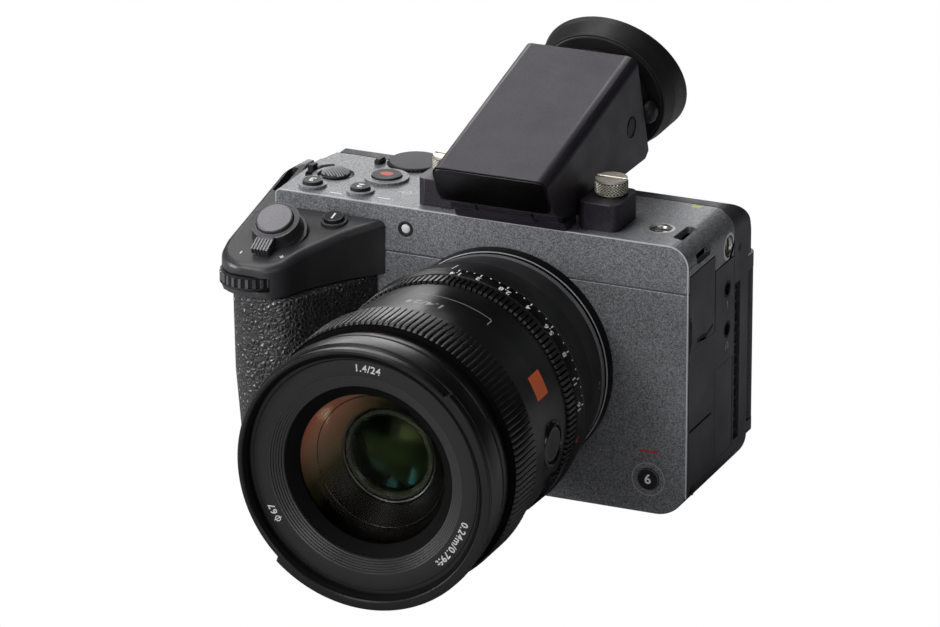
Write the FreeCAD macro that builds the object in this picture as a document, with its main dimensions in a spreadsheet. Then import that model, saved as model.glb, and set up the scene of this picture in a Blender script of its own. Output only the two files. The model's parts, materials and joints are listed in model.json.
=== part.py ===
import FreeCAD, Part
import math
import os

from FreeCAD import Placement, Rotation, Vector

os.makedirs("parts", exist_ok=True)
doc = FreeCAD.newDocument("cinema_camera")

# Frame: origin at the tripod socket's mouth, +Z up, lens axis along -Y above the origin,
# y = 0 at the image plane, +X towards the side with the jacks, the hand grip at -X.

# Driving dimensions in millimetres and degrees
DIMENSIONS = {
    "body_height": 79.0,
    "side_x": 54.0,
    "front_y": 14.0,
    "cover_left_x": 69.4,
    "grip_left_x": 72.0,
    "cover_height": 13.5,
    "seam_y": 20.4,
    "rear_y": 31.2,
    "rear_crown_y": 33.0,
    "wall": 2.0,
    "seam_gap": 0.1,
    "corner_top": 6.5,
    "corner_bottom": 9.0,
    "crown_round": 11.0,
    "grip_split_x": 42.5,
    "lens_axis_drop": 0.1,
    "flange_distance": 18.0,
    "mount_throat": 23.05,
    "mount_bore": 24.4,
    "mount_ring": 29.4,
    "mount_opening": 30.5,
    "trim_ring": 32.2,
    "lens_base_radius": 31.4,
    "lens_neck_length": 25.0,
    "lens_bore_radius": 21.6,
    "aperture_ring_width": 10.6,
    "iris_radius": 7.0,
    "aperture_ring_radius": 35.8,
    "mid_barrel_radius": 35.6,
    "mid_barrel_length": 26.6,
    "barrel_room_radius": 28.0,
    "focus_ring_width": 13.1,
    "focus_ring_radius": 37.7,
    "front_barrel_length": 17.1,
    "front_barrel_radius": 36.7,
    "rim_groove": 0.5,
    "lip_length": 2.4,
    "front_glass_depth": 8.1,
    "front_glass_radius": 21.5,
    "inner_glass_radius": 13.0,
    "rear_glass_radius": 14.02,
    "hold_button_radius": 5.05,
    "lip_radius": 37.4,
    "filter_radius": 33.5,
    "name_ring_radius": 32.4,
    "glass_well_radius": 24.2,
    "lens_sleeve": 31.0,
    "running_gap": 0.08,
    "grip_front_y": 43.5,
    "grip_inner_x": 51.5,
    "plate_drop": 4.6,
    "plate_tilt": 12.0,
    "dial_floor": 1.9,
    "front_dial_radius": 9.5,
    "front_dial_drop": 16.6,
    "front_dial_width": 3.8,
    "front_dial_ribs": 28,
    "shutter_radius": 5.2,
    "shutter_tilt": 27.0,
    "button_radius": 2.8,
    "front_button_radius": 3.2,
    "record_radius": 4.3,
    "release_radius": 3.0,
    "menu_radius": 2.3,
    "wheel_radius": 8.6,
    "crown_wall": 3.8,
    "button_gap": 0.15,
    "button_trim_width": 0.95,
    "record_trim_width": 1.85,
    "dial_shaft": 1.5,
    "selector_radius": 3.6,
    "rear_dial_radius": 7.8,
    "rear_dial_ribs": 32,
    "thread_bore": 3.175,
    "thread_sleeve": 3.95,
    "tripod_sleeve": 6.0,
    "jack_bore": 1.75,
    "jack_nose": 2.5,
    "jack_sleeve": 3.0,
    "door_thickness": 1.2,
    "door_gap": 0.12,
    "side_door_drop": 8.8,
    "side_door_height": 22.2,
    "door_seam_y": 6.55,
    "port_door_drop": 42.8,
    "port_door_bottom": 9.4,
    "vent_bottom": 10.4,
    "vent_drop": 22.1,
    "vent_width": 4.1,
    "vent_pitch": 3.2,
    "vent_rib": 0.7,
    "finder_centre_x": 1.8,
    "finder_eye_y": 41.5,
    "finder_eye_rise": 15.7,
    "diopter_radius": 3.2,
    "finder_button_radius": 2.6,
    "knob_shaft": 1.2,
    "finder_pitch": 13.8,
    "finder_half_top": 16.0,
    "finder_half_bottom": 17.0,
    "finder_left_flare": 1.9,
    "wing_inner_gap": 0.9,
    "finder_length": 66.8,
    "finder_top": 19.2,
    "eyepiece_radius": 12.0,
    "hinge_radius": 2.6,
    "hinge_pin": 1.2,
    "foot_half_width": 16.4,
    "foot_half_span": 29.8,
    "foot_rear_y": 5.0,
    "wing_front_y": 10.4,
    "wing_height": 7.8,
    "foot_thickness": 2.8,
    "screw_half_span": 24.2,
    "screw_head_radius": 4.45,
    "screw_head_height": 4.4,
    "screw_shank": 1.9,
    "cup_flange_radius": 18.7,
    "cup_rim_radius": 22.3,
    "cup_start": 7.7,
    "cup_rim_y": 18.8,
    "cup_slant": 10.7,
    "monitor_rear_y": 38.2,
    "monitor_left_x": 26.0,
    "monitor_drop": 18.0,
    "monitor_bottom": 9.0,
    "monitor_barrel": 3.1,
    "monitor_right_x": 46.9,
    "monitor_pin": 1.2,
    "monitor_pivot": 1.5,
    "glass_margin": 2.0,
    "lug_low": 8.5,
    "lug_low_top": 12.0,
    "lug_height": 4.5,
    "lug_drop": 17.5,
    "battery_thickness": 22.7,
    "battery_depth": 38.7,
    "battery_floor": 2.0,
    "battery_headroom": 4.9,
    "card_thickness": 2.1,
    "card_width": 24.0,
    "card_length": 32.0,
    "sensor_width": 35.9,
    "sensor_height": 24.0,
}

sizes = doc.addObject("Spreadsheet::Sheet", "sizes")
for row, (alias, number) in enumerate(DIMENSIONS.items(), start=1):
    sizes.set("A%d" % row, alias)
    sizes.set("B%d" % row, str(number))
    sizes.setAlias("B%d" % row, alias)
doc.recompute()


class Sizes:
    """Reads a driving dimension from the sheet by its name."""

    def __getattr__(self, alias):
        return float(getattr(sizes, alias))


d = Sizes()
nodes = []

# Levels that follow the height of the body, as numbers and as expressions for the sheet
top = d.body_height
seam = top - d.cover_height
axis_z = top / 2 - d.lens_axis_drop
plate_height = top - d.plate_drop
dial_height = top - d.front_dial_drop
head_bottom = dial_height - d.front_dial_width / 2 - d.dial_floor
side_door_top = top - d.side_door_drop
side_door_bottom = side_door_top - d.side_door_height
port_door_top = top - d.port_door_drop
vent_top = top - d.vent_drop
monitor_top = top - d.monitor_drop
SEAM = "(sizes.body_height-sizes.cover_height)"
AXIS = "(sizes.body_height/2-sizes.lens_axis_drop)"
DIAL = "(sizes.body_height-sizes.front_dial_drop)"
HEAD_BOTTOM = DIAL + "-sizes.front_dial_width/2-sizes.dial_floor"
SIDE_DOOR_TOP = "(sizes.body_height-sizes.side_door_drop)"
SIDE_DOOR_BOTTOM = SIDE_DOOR_TOP + "-sizes.side_door_height"
PORT_DOOR_TOP = "(sizes.body_height-sizes.port_door_drop)"
FOOT_TOP = "(sizes.body_height+sizes.foot_thickness)"
WING_TOP = "(sizes.body_height+sizes.wing_height)"
LUG_TOP = "(sizes.body_height-sizes.lug_drop)"
LUG_FOOT = LUG_TOP + "-sizes.lug_height"
FRONT_OUT = "-sizes.front_y-1"
FRONT_IN = "-sizes.front_y+5"
SIDE_IN = "sizes.side_x-4"
SIDE_OUT = "sizes.side_x+1"
TOP_OUT = "sizes.body_height+1"
TOP_IN = "sizes.body_height-8"
CROWN_OUT = "sizes.rear_crown_y+1"
REAR_IN = "sizes.rear_y-sizes.wall-2"
DOOR_IN = "sizes.side_x-sizes.door_thickness-0.1"
EYE_Z = "sizes.body_height+sizes.finder_eye_rise"

# Local normal of each origin plane along its own world axis
PLANES = {"XY": 1, "YZ": 1, "XZ": -1}


def piece(label):
    """Starts a sub-part as a body of its own."""
    body = doc.addObject("PartDesign::Body", label)
    body.Label = label
    nodes.append(body)
    return body


def origin_plane(body, plane):
    """Finds one of the body's own origin planes."""
    for feature in body.Origin.OriginFeatures:
        if feature.Role == plane + "_Plane":
            return feature
    raise ValueError("no plane " + plane)


def corner_arc(before, corner, after, radius):
    """Start, middle and end of the arc that rounds one corner of an outline."""
    to_before = (before - corner).normalize()
    to_after = (after - corner).normalize()
    half = to_before.getAngle(to_after) / 2
    reach = radius / math.tan(half)
    bisector = (to_before + to_after).normalize()
    centre = corner + bisector * (radius / math.sin(half))
    return corner + to_before * reach, centre - bisector * radius, corner + to_after * reach


def outline(*points):
    """Closed outline through (x, y) or (x, y, corner radius) points."""
    corners = [Vector(p[0], p[1], 0) for p in points]
    radii = [p[2] if len(p) > 2 else 0 for p in points]
    count = len(corners)
    starts = []
    ends = []
    arcs = []
    for i in range(count):
        if radii[i] > 0:
            start, middle, end = corner_arc(corners[i - 1], corners[i], corners[(i + 1) % count], radii[i])
            arcs.append(Part.Arc(start, middle, end))
        else:
            start = end = corners[i]
            arcs.append(None)
        starts.append(start)
        ends.append(end)
    edges = []
    for i in range(count):
        if arcs[i]:
            edges.append(arcs[i])
        nearest = starts[(i + 1) % count]
        if (ends[i] - nearest).Length > 1e-6:
            edges.append(Part.LineSegment(ends[i], nearest))
    return edges


def box_outline(x0, y0, x1, y1, radius=0):
    """Rectangle with equal corner radii."""
    return outline((x0, y0, radius), (x1, y0, radius), (x1, y1, radius), (x0, y1, radius))


def circle(x, y, radius):
    """One full circle as an outline."""
    return [Part.Circle(Vector(x, y, 0), Vector(0, 0, 1), radius)]


def slot_outline(x, y, half_length, radius, upright=False):
    """Round-ended slot centred on (x, y)."""
    reach_x = radius if upright else half_length
    reach_y = half_length if upright else radius
    return box_outline(x - reach_x, y - reach_y, x + reach_x, y + reach_y, radius * 0.999)


def sketch(body, name, plane, edges, offset="0"):
    """Sketch on the body's own plane, moved along the plane's normal by an expression."""
    result = body.newObject("Sketcher::SketchObject", body.Name + "_" + name)
    result.AttachmentSupport = [(origin_plane(body, plane), "")]
    result.MapMode = "FlatFace"
    result.addGeometry(edges, False)
    result.setExpression("AttachmentOffset.Base.z", offset)
    return result


def pad(body, name, plane, edges, low, high):
    """Adds material between two places along the plane's axis, given as expressions."""
    sign = PLANES[plane]
    start = low if sign > 0 else high
    drawn = sketch(body, name + "_sketch", plane, edges, "%d*(%s)" % (sign, start))
    feature = body.newObject("PartDesign::Pad", body.Name + "_" + name)
    feature.Profile = drawn
    feature.setExpression("Length", "(%s)-(%s)" % (high, low))
    return feature


def cut(body, name, plane, edges, low, high):
    """Removes material between two places along the plane's axis, given as expressions."""
    sign = PLANES[plane]
    start = high if sign > 0 else low
    drawn = sketch(body, name + "_sketch", plane, edges, "%d*(%s)" % (sign, start))
    feature = body.newObject("PartDesign::Pocket", body.Name + "_" + name)
    feature.Profile = drawn
    feature.setExpression("Length", "(%s)-(%s)" % (high, low))
    return feature


def turn(body, name, plane, edges, offset="0", kind="Revolution"):
    """Adds or removes a full turn of a profile about the sketch's vertical axis."""
    drawn = sketch(body, name + "_sketch", plane, edges, offset)
    feature = body.newObject("PartDesign::" + kind, body.Name + "_" + name)
    feature.Profile = drawn
    feature.ReferenceAxis = (drawn, ["V_Axis"])
    feature.Angle = 360
    return feature


def ring_of(body, feature, count, axis=("Z_Axis",)):
    """Repeats a feature around one of the body's own axes."""
    pattern = body.newObject("PartDesign::PolarPattern", feature.Name + "_ring")
    pattern.Originals = [feature]
    for line in body.Origin.OriginFeatures:
        if line.Role == axis[0]:
            pattern.Axis = (line, [""])
    pattern.Angle = 360
    pattern.Occurrences = count
    body.Tip = pattern
    return pattern


def row_of(body, feature, role, length, count):
    """Repeats a feature in a row along one of the body's own axes."""
    pattern = body.newObject("PartDesign::LinearPattern", feature.Name + "_row")
    pattern.Originals = [feature]
    for line in body.Origin.OriginFeatures:
        if line.Role == role:
            pattern.Direction = (line, [""])
    pattern.Length = length
    pattern.Occurrences = count
    body.Tip = pattern
    return pattern


def round_edges(body, name, radius, chosen):
    """Fillets the edges of the body's tip that a test picks."""
    doc.recompute()
    base = body.Tip
    names = ["Edge%d" % (i + 1) for i, edge in enumerate(base.Shape.Edges) if chosen(edge)]
    if not names:
        raise ValueError("no edge found for " + name)
    feature = body.newObject("PartDesign::Fillet", body.Name + "_" + name)
    feature.Base = (base, names)
    feature.Radius = radius
    body.Tip = feature
    return feature


def on_level(z):
    """Test for the edges that lie wholly at one height."""
    return lambda edge: all(abs(vertex.Point.z - z) < 0.01 for vertex in edge.Vertexes)


def place(body, x, y, z, axis=(1, 0, 0), angle="0"):
    """Puts a body at a point given as expressions, turned about an axis."""
    body.Placement = Placement(Vector(), Rotation(Vector(*axis), 0))
    doc.recompute()
    turn_angle = float(body.evalExpression(angle))
    body.Placement = Placement(Vector(), Rotation(Vector(*axis), turn_angle))
    body.setExpression("Placement.Base.x", x)
    body.setExpression("Placement.Base.y", y)
    body.setExpression("Placement.Base.z", z)


def aimed(body, name, edges, point, direction, kind, low, high):
    """Pads or pockets an outline along any direction, between two distances from a point."""
    start = low if kind == "Pad" else high
    result = body.newObject("Sketcher::SketchObject", "%s_%s_sketch" % (body.Name, name))
    result.AttachmentSupport = [(origin_plane(body, "XY"), "")]
    result.MapMode = "FlatFace"
    result.addGeometry(edges, False)
    result.AttachmentOffset = Placement(point + direction * start, Rotation(Vector(0, 0, 1), direction))
    feature = body.newObject("PartDesign::" + kind, "%s_%s" % (body.Name, name))
    feature.Profile = result
    feature.Length = high - low
    return feature


def on_circle(radius, degrees, x=0.0, y=0.0):
    """Point at an angle on a circle."""
    angle = math.radians(degrees)
    return x + radius * math.cos(angle), y + radius * math.sin(angle)


def ribbed_outline(radius, depth, count, land=0.55):
    """Closed outline of a ring with straight ribs standing on it."""
    points = []
    pitch = 360.0 / count
    for i in range(count):
        start = i * pitch
        points.append(on_circle(radius, start))
        points.append(on_circle(radius, start + pitch * land))
        points.append(on_circle(radius - depth, start + pitch * (land + 0.08)))
        points.append(on_circle(radius - depth, start + pitch * 0.92))
    return outline(*points)


def lens_turn(body, name, profile, kind="Revolution"):
    """Full turn about the lens axis of a profile in (radius, y), the sensor plane at y = 0."""
    return turn(body, name, "XY", outline(*profile), AXIS, kind)


# Chassis: the plate that carries the mount, the sensor and the tripod socket

chassis_front = d.front_y - d.wall
chassis = piece("chassis")
pad(chassis, "plate", "XZ", box_outline(-30, 12, 37.5, top - 4, 3), "-(sizes.front_y-sizes.wall)",
    "-(sizes.front_y-sizes.wall)+2.4")
cut(chassis, "light_path", "XZ", circle(0, axis_z, d.mount_bore), "-sizes.front_y", "-5")
pad(chassis, "foot", "XZ", outline((-20, d.wall), (20, d.wall), (20, 14), (-20, 14)),
    "-(sizes.front_y-sizes.wall)", "12")
cut(chassis, "socket_seat", "XY", circle(0, 0, d.tripod_sleeve + d.running_gap), "-1", "10.1")
sensor_post_x = 22.5
sensor_post_z = 16.0
for side, x in (("left", -sensor_post_x), ("right", sensor_post_x)):
    for level, z in (("low", -sensor_post_z), ("high", sensor_post_z)):
        pad(chassis, "post_%s_%s" % (side, level), "XZ", circle(x, axis_z + z, 1.8),
            "-(sizes.front_y-sizes.wall)+1", "1.2")

# Front cover: the plate around the lens mount, right of the hand grip

front_cover = piece("front_cover")
pad(front_cover, "face", "XZ",
    outline((-(d.grip_split_x - d.seam_gap), 0), (d.side_x, 0, d.corner_bottom),
    (d.side_x, seam - d.seam_gap),
            (-(d.grip_split_x - d.seam_gap), seam - d.seam_gap)),
    "-sizes.front_y", "-sizes.front_y+1.1")
pad(front_cover, "inner_face", "XZ",
    outline((-(d.grip_split_x - d.seam_gap), d.wall + 0.1),
            (d.side_x - d.wall - 0.1, d.wall + 0.1, d.corner_bottom - d.wall),
            (d.side_x - d.wall - 0.1, seam - d.seam_gap),
            (-(d.grip_split_x - d.seam_gap), seam - d.seam_gap)),
    "-sizes.front_y+0.5", "-sizes.front_y+sizes.wall")
cut(front_cover, "mount_opening", "XZ", circle(0, axis_z, d.mount_opening), FRONT_OUT, FRONT_IN)
front_button_x = 43.0
front_button_z = 10.3
cut(front_cover, "button_seat", "XZ",
    circle(front_button_x, front_button_z, d.front_button_radius + d.button_gap),
    FRONT_OUT, FRONT_IN)
release_x = -35.0
release_z = 21.0
cut(front_cover, "release_seat", "XZ", circle(release_x, release_z, d.release_radius + 0.2), FRONT_OUT,
    FRONT_IN)
ring_width = 1.6
pad(front_cover, "button_trim", "XZ",
    circle(front_button_x, front_button_z, 4.9) + circle(front_button_x, front_button_z, 4.9 - ring_width),
    "-sizes.front_y-0.5", "-sizes.front_y+0.5")

# Top cover: roof, front strip above the seam, and the skirt above the side door

top_cover = piece("top_cover")
rear_left_x = 66.3
pad(top_cover, "block", "XZ",
    outline((-d.cover_left_x, seam), (-d.cover_left_x, top, 1.5), (d.side_x, top, d.corner_top),
            (d.side_x, seam)),
    "-sizes.front_y", "sizes.seam_y")
cut(top_cover, "rear_left_corner", "XY",
    outline((-d.cover_left_x - 1, 8), (-d.cover_left_x, 8), (-rear_left_x, d.seam_y),
    (-rear_left_x, d.seam_y + 1),
            (-d.cover_left_x - 1, d.seam_y + 1)),
    SEAM + "-1", TOP_OUT)
cut(top_cover, "cavity", "XZ",
    outline((-60, seam - 1), (d.side_x - d.wall, seam - 1),
    (d.side_x - d.wall, top - d.wall, d.corner_top - d.wall),
            (-60, top - d.wall)),
    "-sizes.front_y+sizes.wall", "sizes.seam_y+1")
cut(top_cover, "left_cavity", "XY",
    outline((-d.cover_left_x + d.wall, -d.front_y + d.wall), (-59.5, -d.front_y + d.wall),
    (-59.5, d.seam_y + 1),
            (-rear_left_x + d.wall, d.seam_y + 1), (-rear_left_x + d.wall, d.seam_y),
            (-d.cover_left_x + d.wall, 8)),
    SEAM + "-1", "sizes.body_height-sizes.wall")
cut(top_cover, "mount_opening", "XZ", circle(0, axis_z, d.mount_opening), FRONT_OUT, FRONT_IN)
cut(top_cover, "door_notch", "YZ",
    box_outline(-12.4 - d.door_gap, seam - 1, d.door_seam_y, side_door_top + d.door_gap), DOOR_IN,
    SIDE_OUT)
button_2_x, button_2_y = -46.5, -7.3
button_3_x, button_3_y = -60.8, -7.9
record_x, record_y = -44.2, 5.4
selector_x, selector_y = -58.8, 3.2
rear_dial_x, rear_dial_y = -42.0, 20.3
strap_slot_y = -2.4
thread_x, thread_y = 40.9, -1.5
side_thread_y = 16.1
side_thread_z = top - 9.4
lamp_x = -29.9
lamp_z = top - 6.3
jack_y = 15.4
mic_jack_z = top - 21.6
phone_jack_z = top - 33.5
for name, x, y, radius in (("button_2_seat", button_2_x, button_2_y, d.button_radius + d.button_gap),
                           ("button_3_seat", button_3_x, button_3_y, d.button_radius + d.button_gap),
                           ("record_seat", record_x, record_y, d.record_radius + d.button_gap),
                           ("selector_seat", selector_x, selector_y, 2.6),
                           ("thread_seat", thread_x, thread_y, d.thread_sleeve + 0.02),
                           ("left_screw_seat", d.finder_centre_x - d.screw_half_span, -1,
                           d.screw_shank + 0.15),
                           ("right_screw_seat", d.finder_centre_x + d.screw_half_span, -1,
                           d.screw_shank + 0.15)):
    cut(top_cover, name, "XY", circle(x, y, radius), "sizes.body_height-sizes.wall-3", TOP_OUT)
cut(top_cover, "selector_well", "XY", circle(selector_x, selector_y, 5.1), "sizes.body_height-0.8", TOP_OUT)
for name, x, y, inner, width in (
        ("button_2_trim", button_2_x, button_2_y, d.button_radius + d.button_gap, d.button_trim_width),
        ("button_3_trim", button_3_x, button_3_y, d.button_radius + d.button_gap, d.button_trim_width),
        ("record_trim", record_x, record_y, d.record_radius + d.button_gap, d.record_trim_width)):
    pad(top_cover, name, "XY", circle(x, y, inner + width) + circle(x, y, inner), "sizes.body_height-0.5",
        "sizes.body_height+0.8")
cut(top_cover, "dial_well", "XY", circle(rear_dial_x, rear_dial_y, d.rear_dial_radius + 0.3),
    "sizes.body_height-1.2",
    TOP_OUT)
cut(top_cover, "dial_shaft_seat", "XY", circle(rear_dial_x, rear_dial_y, d.dial_shaft + 0.1), TOP_IN, TOP_OUT)
cut(top_cover, "strap_slot_top", "XY", box_outline(46.9, strap_slot_y - 5.2, 49.6, strap_slot_y + 5.2, 0.8),
    "sizes.body_height-5", TOP_OUT)
cut(top_cover, "strap_slot_side", "YZ",
    box_outline(strap_slot_y - 5.2, top - 6.9, strap_slot_y + 5.2, top - 3.9, 0.8), SIDE_IN,
    SIDE_OUT)
cut(top_cover, "side_thread_seat", "YZ", circle(side_thread_y, side_thread_z, d.thread_sleeve + 0.02),
    "sizes.side_x-5",
    SIDE_OUT)
cut(top_cover, "lamp_seat", "XZ", circle(lamp_x, lamp_z, 2.3), FRONT_OUT, "-sizes.front_y+1.4")
switch_inner = 6.6
switch_outer = 8.6
switch_sweep = 48.0
switch_middle = 165.0


def arc_band(x, y, inner, outer, middle, half_sweep):
    """Closed band between two arcs about one centre."""
    a = on_circle(inner, middle - half_sweep, x, y)
    b = on_circle(outer, middle - half_sweep, x, y)
    c = on_circle(outer, middle, x, y)
    e = on_circle(outer, middle + half_sweep, x, y)
    f = on_circle(inner, middle + half_sweep, x, y)
    g = on_circle(inner, middle, x, y)
    a, b, c, e, f, g = (Vector(p[0], p[1], 0) for p in (a, b, c, e, f, g))
    return [Part.LineSegment(a, b), Part.Arc(b, c, e), Part.LineSegment(e, f), Part.Arc(f, g, a)]


cut(top_cover, "switch_track", "XY",
    arc_band(selector_x, selector_y, switch_inner, switch_outer, switch_middle, switch_sweep),
    "sizes.body_height-0.9", TOP_OUT)

# Side panel: the wall behind the front cover, with the recesses of both doors and the jack column

side_panel = piece("side_panel")
pad(side_panel, "wall", "XZ",
    outline((d.side_x - d.corner_bottom, 0), (d.side_x, 0, d.corner_bottom), (d.side_x, seam - d.seam_gap),
            (d.side_x - d.wall, seam - d.seam_gap), (d.side_x - d.wall, d.wall, d.corner_bottom - d.wall),
            (d.side_x - d.corner_bottom, d.wall)),
    "-sizes.front_y+1.3", "sizes.seam_y-sizes.seam_gap")
cut(side_panel, "side_door_recess", "YZ",
    box_outline(-12.4 - d.door_gap, side_door_bottom, d.door_seam_y, seam + 1), DOOR_IN, SIDE_OUT)
cut(side_panel, "port_door_recess", "YZ",
    box_outline(d.door_seam_y + 0.1, d.port_door_bottom - d.door_gap, 19.9, port_door_top + d.door_gap),
    DOOR_IN, SIDE_OUT)
cut(side_panel, "video_port", "YZ", box_outline(-8.5, side_door_bottom + 3.5, -3.5, seam - 2, 0.8), SIDE_IN,
    SIDE_OUT)
cut(side_panel, "data_port", "YZ", slot_outline(13.2, 25.5, 4.6, 1.7, True), SIDE_IN, SIDE_OUT)
cut(side_panel, "speaker_slot", "YZ", box_outline(-12.2, 24.5, 4.2, 25.2), "sizes.side_x-1.2", SIDE_OUT)
cut(side_panel, "mic_jack_seat", "YZ", circle(jack_y, mic_jack_z, d.jack_nose + 0.05), SIDE_IN, SIDE_OUT)
cut(side_panel, "phone_jack_seat", "YZ", circle(jack_y, phone_jack_z, d.jack_nose + 0.05), SIDE_IN, SIDE_OUT)
cut(side_panel, "thread_room", "YZ", circle(side_thread_y, side_thread_z, d.thread_sleeve + 0.25),
    "sizes.side_x-5", SIDE_OUT)

# Base plate: the floor between the grip and the side panel

base_plate = piece("base_plate")
pad(base_plate, "floor", "XY",
    outline((-(d.grip_split_x - d.seam_gap), -(d.front_y - 1.3)),
    (d.side_x - d.corner_bottom - d.seam_gap, -(d.front_y - 1.3)),
            (d.side_x - d.corner_bottom - d.seam_gap, d.seam_y), (-(d.grip_split_x - d.seam_gap), d.seam_y)),
    "0", "sizes.wall-0.05")
cut(base_plate, "socket_opening", "XY", circle(0, 0, d.tripod_sleeve + 0.02), "-1", "5")
cut(base_plate, "front_lip_room", "XY",
    outline((-50, -20), (60, -20), (60, -(d.front_y - 1.3)), (-50, -(d.front_y - 1.3))), "-1", "5")

# Rear cover: crown, rear wall, vent grille and the two lugs of the monitor hinge

rear_cover = piece("rear_cover")
rear_outline_left = rear_left_x
pad(rear_cover, "block", "XZ",
    outline((-rear_outline_left, 0, 3), (d.side_x, 0, d.corner_bottom), (d.side_x, top, d.corner_top),
    (-rear_outline_left, top, 1.5)),
    "sizes.seam_y+sizes.seam_gap", "sizes.rear_crown_y")
cut(rear_cover, "cavity", "XZ",
    outline((-rear_outline_left + d.wall, d.wall, 2), (d.side_x - d.wall, d.wall, d.corner_bottom - d.wall),
            (d.side_x - d.wall, top - d.wall - 2.5, d.corner_top - d.wall),
            (-rear_outline_left + d.wall, top - d.wall - 2.5, 2)),
    "sizes.seam_y-1", "sizes.rear_y-sizes.wall")
crown_start = d.rear_crown_y - d.crown_round
cut(rear_cover, "crown", "YZ",
    [Part.Arc(Vector(crown_start, top, 0),
              Vector(crown_start + d.crown_round * math.sin(math.radians(45)),
                     top - d.crown_round * (1 - math.cos(math.radians(45))), 0),
              Vector(d.rear_crown_y, top - d.crown_round, 0)),
     Part.LineSegment(Vector(d.rear_crown_y, top - d.crown_round, 0),
     Vector(d.rear_crown_y + 3, top - d.crown_round, 0)),
     Part.LineSegment(Vector(d.rear_crown_y + 3, top - d.crown_round, 0),
     Vector(d.rear_crown_y + 3, top + 3, 0)),
     Part.LineSegment(Vector(d.rear_crown_y + 3, top + 3, 0), Vector(crown_start, top + 3, 0)),
     Part.LineSegment(Vector(crown_start, top + 3, 0), Vector(crown_start, top, 0))],
    "-80", "60")
cut(rear_cover, "monitor_recess", "XZ",
    outline((-d.monitor_left_x - 1.5, -1), (d.side_x + 1, -1), (d.side_x + 1, monitor_top + 1.3),
    (-d.monitor_left_x - 1.5, monitor_top + 1.3)),
    "sizes.rear_y", CROWN_OUT)
for name, low, high in (("lug_top", LUG_FOOT, LUG_TOP), ("lug_bottom", "sizes.lug_low", "sizes.lug_low_top")):
    pad(rear_cover, name, "XY",
        outline((47.6, d.rear_y - 1), (d.side_x - 0.2, d.rear_y - 1),
        (d.side_x - 0.2, d.monitor_rear_y - 0.1, 3.0),
                (47.6, d.monitor_rear_y - 0.1, 3.0)), low, high)
hinge_x = 50.7
hinge_y = 34.9
pad(rear_cover, "hinge_pin", "XY", circle(hinge_x, hinge_y, d.monitor_pin), "sizes.lug_low+1", LUG_TOP + "-1")
cut(rear_cover, "vent", "YZ",
    box_outline(d.seam_y + 0.6, d.vent_bottom, d.seam_y + 0.6 + d.vent_width, vent_top), "sizes.side_x-3",
    SIDE_OUT)
vent_rib = pad(rear_cover, "vent_rib", "YZ",
               box_outline(d.seam_y + 0.4, d.vent_bottom + d.vent_pitch / 2, d.seam_y + 0.8 + d.vent_width,
                           d.vent_bottom + d.vent_pitch / 2 + d.vent_rib),
               "sizes.side_x-sizes.wall", "sizes.side_x-0.9")
vent_count = int((vent_top - d.vent_bottom) / d.vent_pitch)
row_of(rear_cover, vent_rib, "Z_Axis", (vent_count - 1) * d.vent_pitch, vent_count)
cut(rear_cover, "dial_well", "XY", circle(rear_dial_x, rear_dial_y, d.rear_dial_radius + 0.3),
    "sizes.body_height-1.2",
    TOP_OUT)
cut(rear_cover, "dial_shaft_seat", "XY", circle(rear_dial_x, rear_dial_y, d.dial_shaft + 0.1), TOP_IN,
    TOP_OUT)
wheel_x, wheel_z = -48.0, top - 41.0
menu_x, menu_z = -36.0, top - 24.5
cut(rear_cover, "wheel_well", "XZ", circle(wheel_x, wheel_z, d.wheel_radius + 0.3),
    "sizes.rear_crown_y-1.6", CROWN_OUT)
cut(rear_cover, "wheel_shaft_seat", "XZ", circle(wheel_x, wheel_z, d.dial_shaft + 0.1), REAR_IN,
    "sizes.rear_crown_y")
cut(rear_cover, "menu_seat", "XZ", circle(menu_x, menu_z, d.menu_radius + d.button_gap), REAR_IN, CROWN_OUT)

# Hand grip: lofted housing with the battery chamber and the card slot

grip_levels = ((0.0, 3.0, 2.4), (5.0, 2.2, 1.2), (34.0, 0.3, 0.0), (head_bottom - 0.2, 0.0, -0.3))


def grip_section(inset, draw_back):
    """Plan outline of the grip, drawn in by an inset and back from the front."""
    left = -d.grip_left_x + inset
    front = -d.grip_front_y + draw_back
    inner = -d.grip_inner_x
    return outline((-38.2, -d.front_y - 0.05), (inner, front, 9), (left, front, 9.5), (left, 8, 3),
                   (-rear_outline_left, d.seam_y - 0.05), (-d.grip_split_x - 0.05, d.seam_y - 0.05),
                   (-d.grip_split_x - 0.05, -d.front_y - 0.05))


grip_housing = piece("grip_housing")
sections = []
for index, (level, inset, draw_back) in enumerate(grip_levels):
    sections.append(sketch(grip_housing, "section_%d" % index, "XY", grip_section(inset, draw_back),
        str(level)))
grip_loft = grip_housing.newObject("PartDesign::AdditiveLoft", "grip_housing_loft")
grip_loft.Profile = sections[0]
grip_loft.Sections = sections[1:]
grip_loft.Ruled = True
battery_x = -67.4
battery_y = -23.7
battery_gap = 0.25
cut(grip_housing, "battery_chamber", "XY",
    box_outline(battery_x - battery_gap, battery_y - battery_gap,
    battery_x + d.battery_thickness + battery_gap,
                battery_y + d.battery_depth + battery_gap, 1.2),
    "-1", HEAD_BOTTOM + "-sizes.battery_headroom+0.5")
cut(grip_housing, "battery_door_recess", "XY",
    box_outline(-68.5, battery_y - 1.6, -43.6, battery_y + d.battery_depth + 1.4), "-1", "1.9")
card_x = -65.0
card_y = 16.3
card_z = top - 50.0
cut(grip_housing, "card_slot", "YZ",
    box_outline(card_y - 0.15, card_z - 0.2, card_y + d.card_thickness + 0.15, card_z + d.card_width + 0.2),
    "-80", "-40")
card_door_turn = math.degrees(math.atan2(d.seam_y - 8.0, d.grip_left_x - rear_outline_left))
card_door_low, card_door_high = card_z - 4.0, card_z + 28.0
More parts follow.
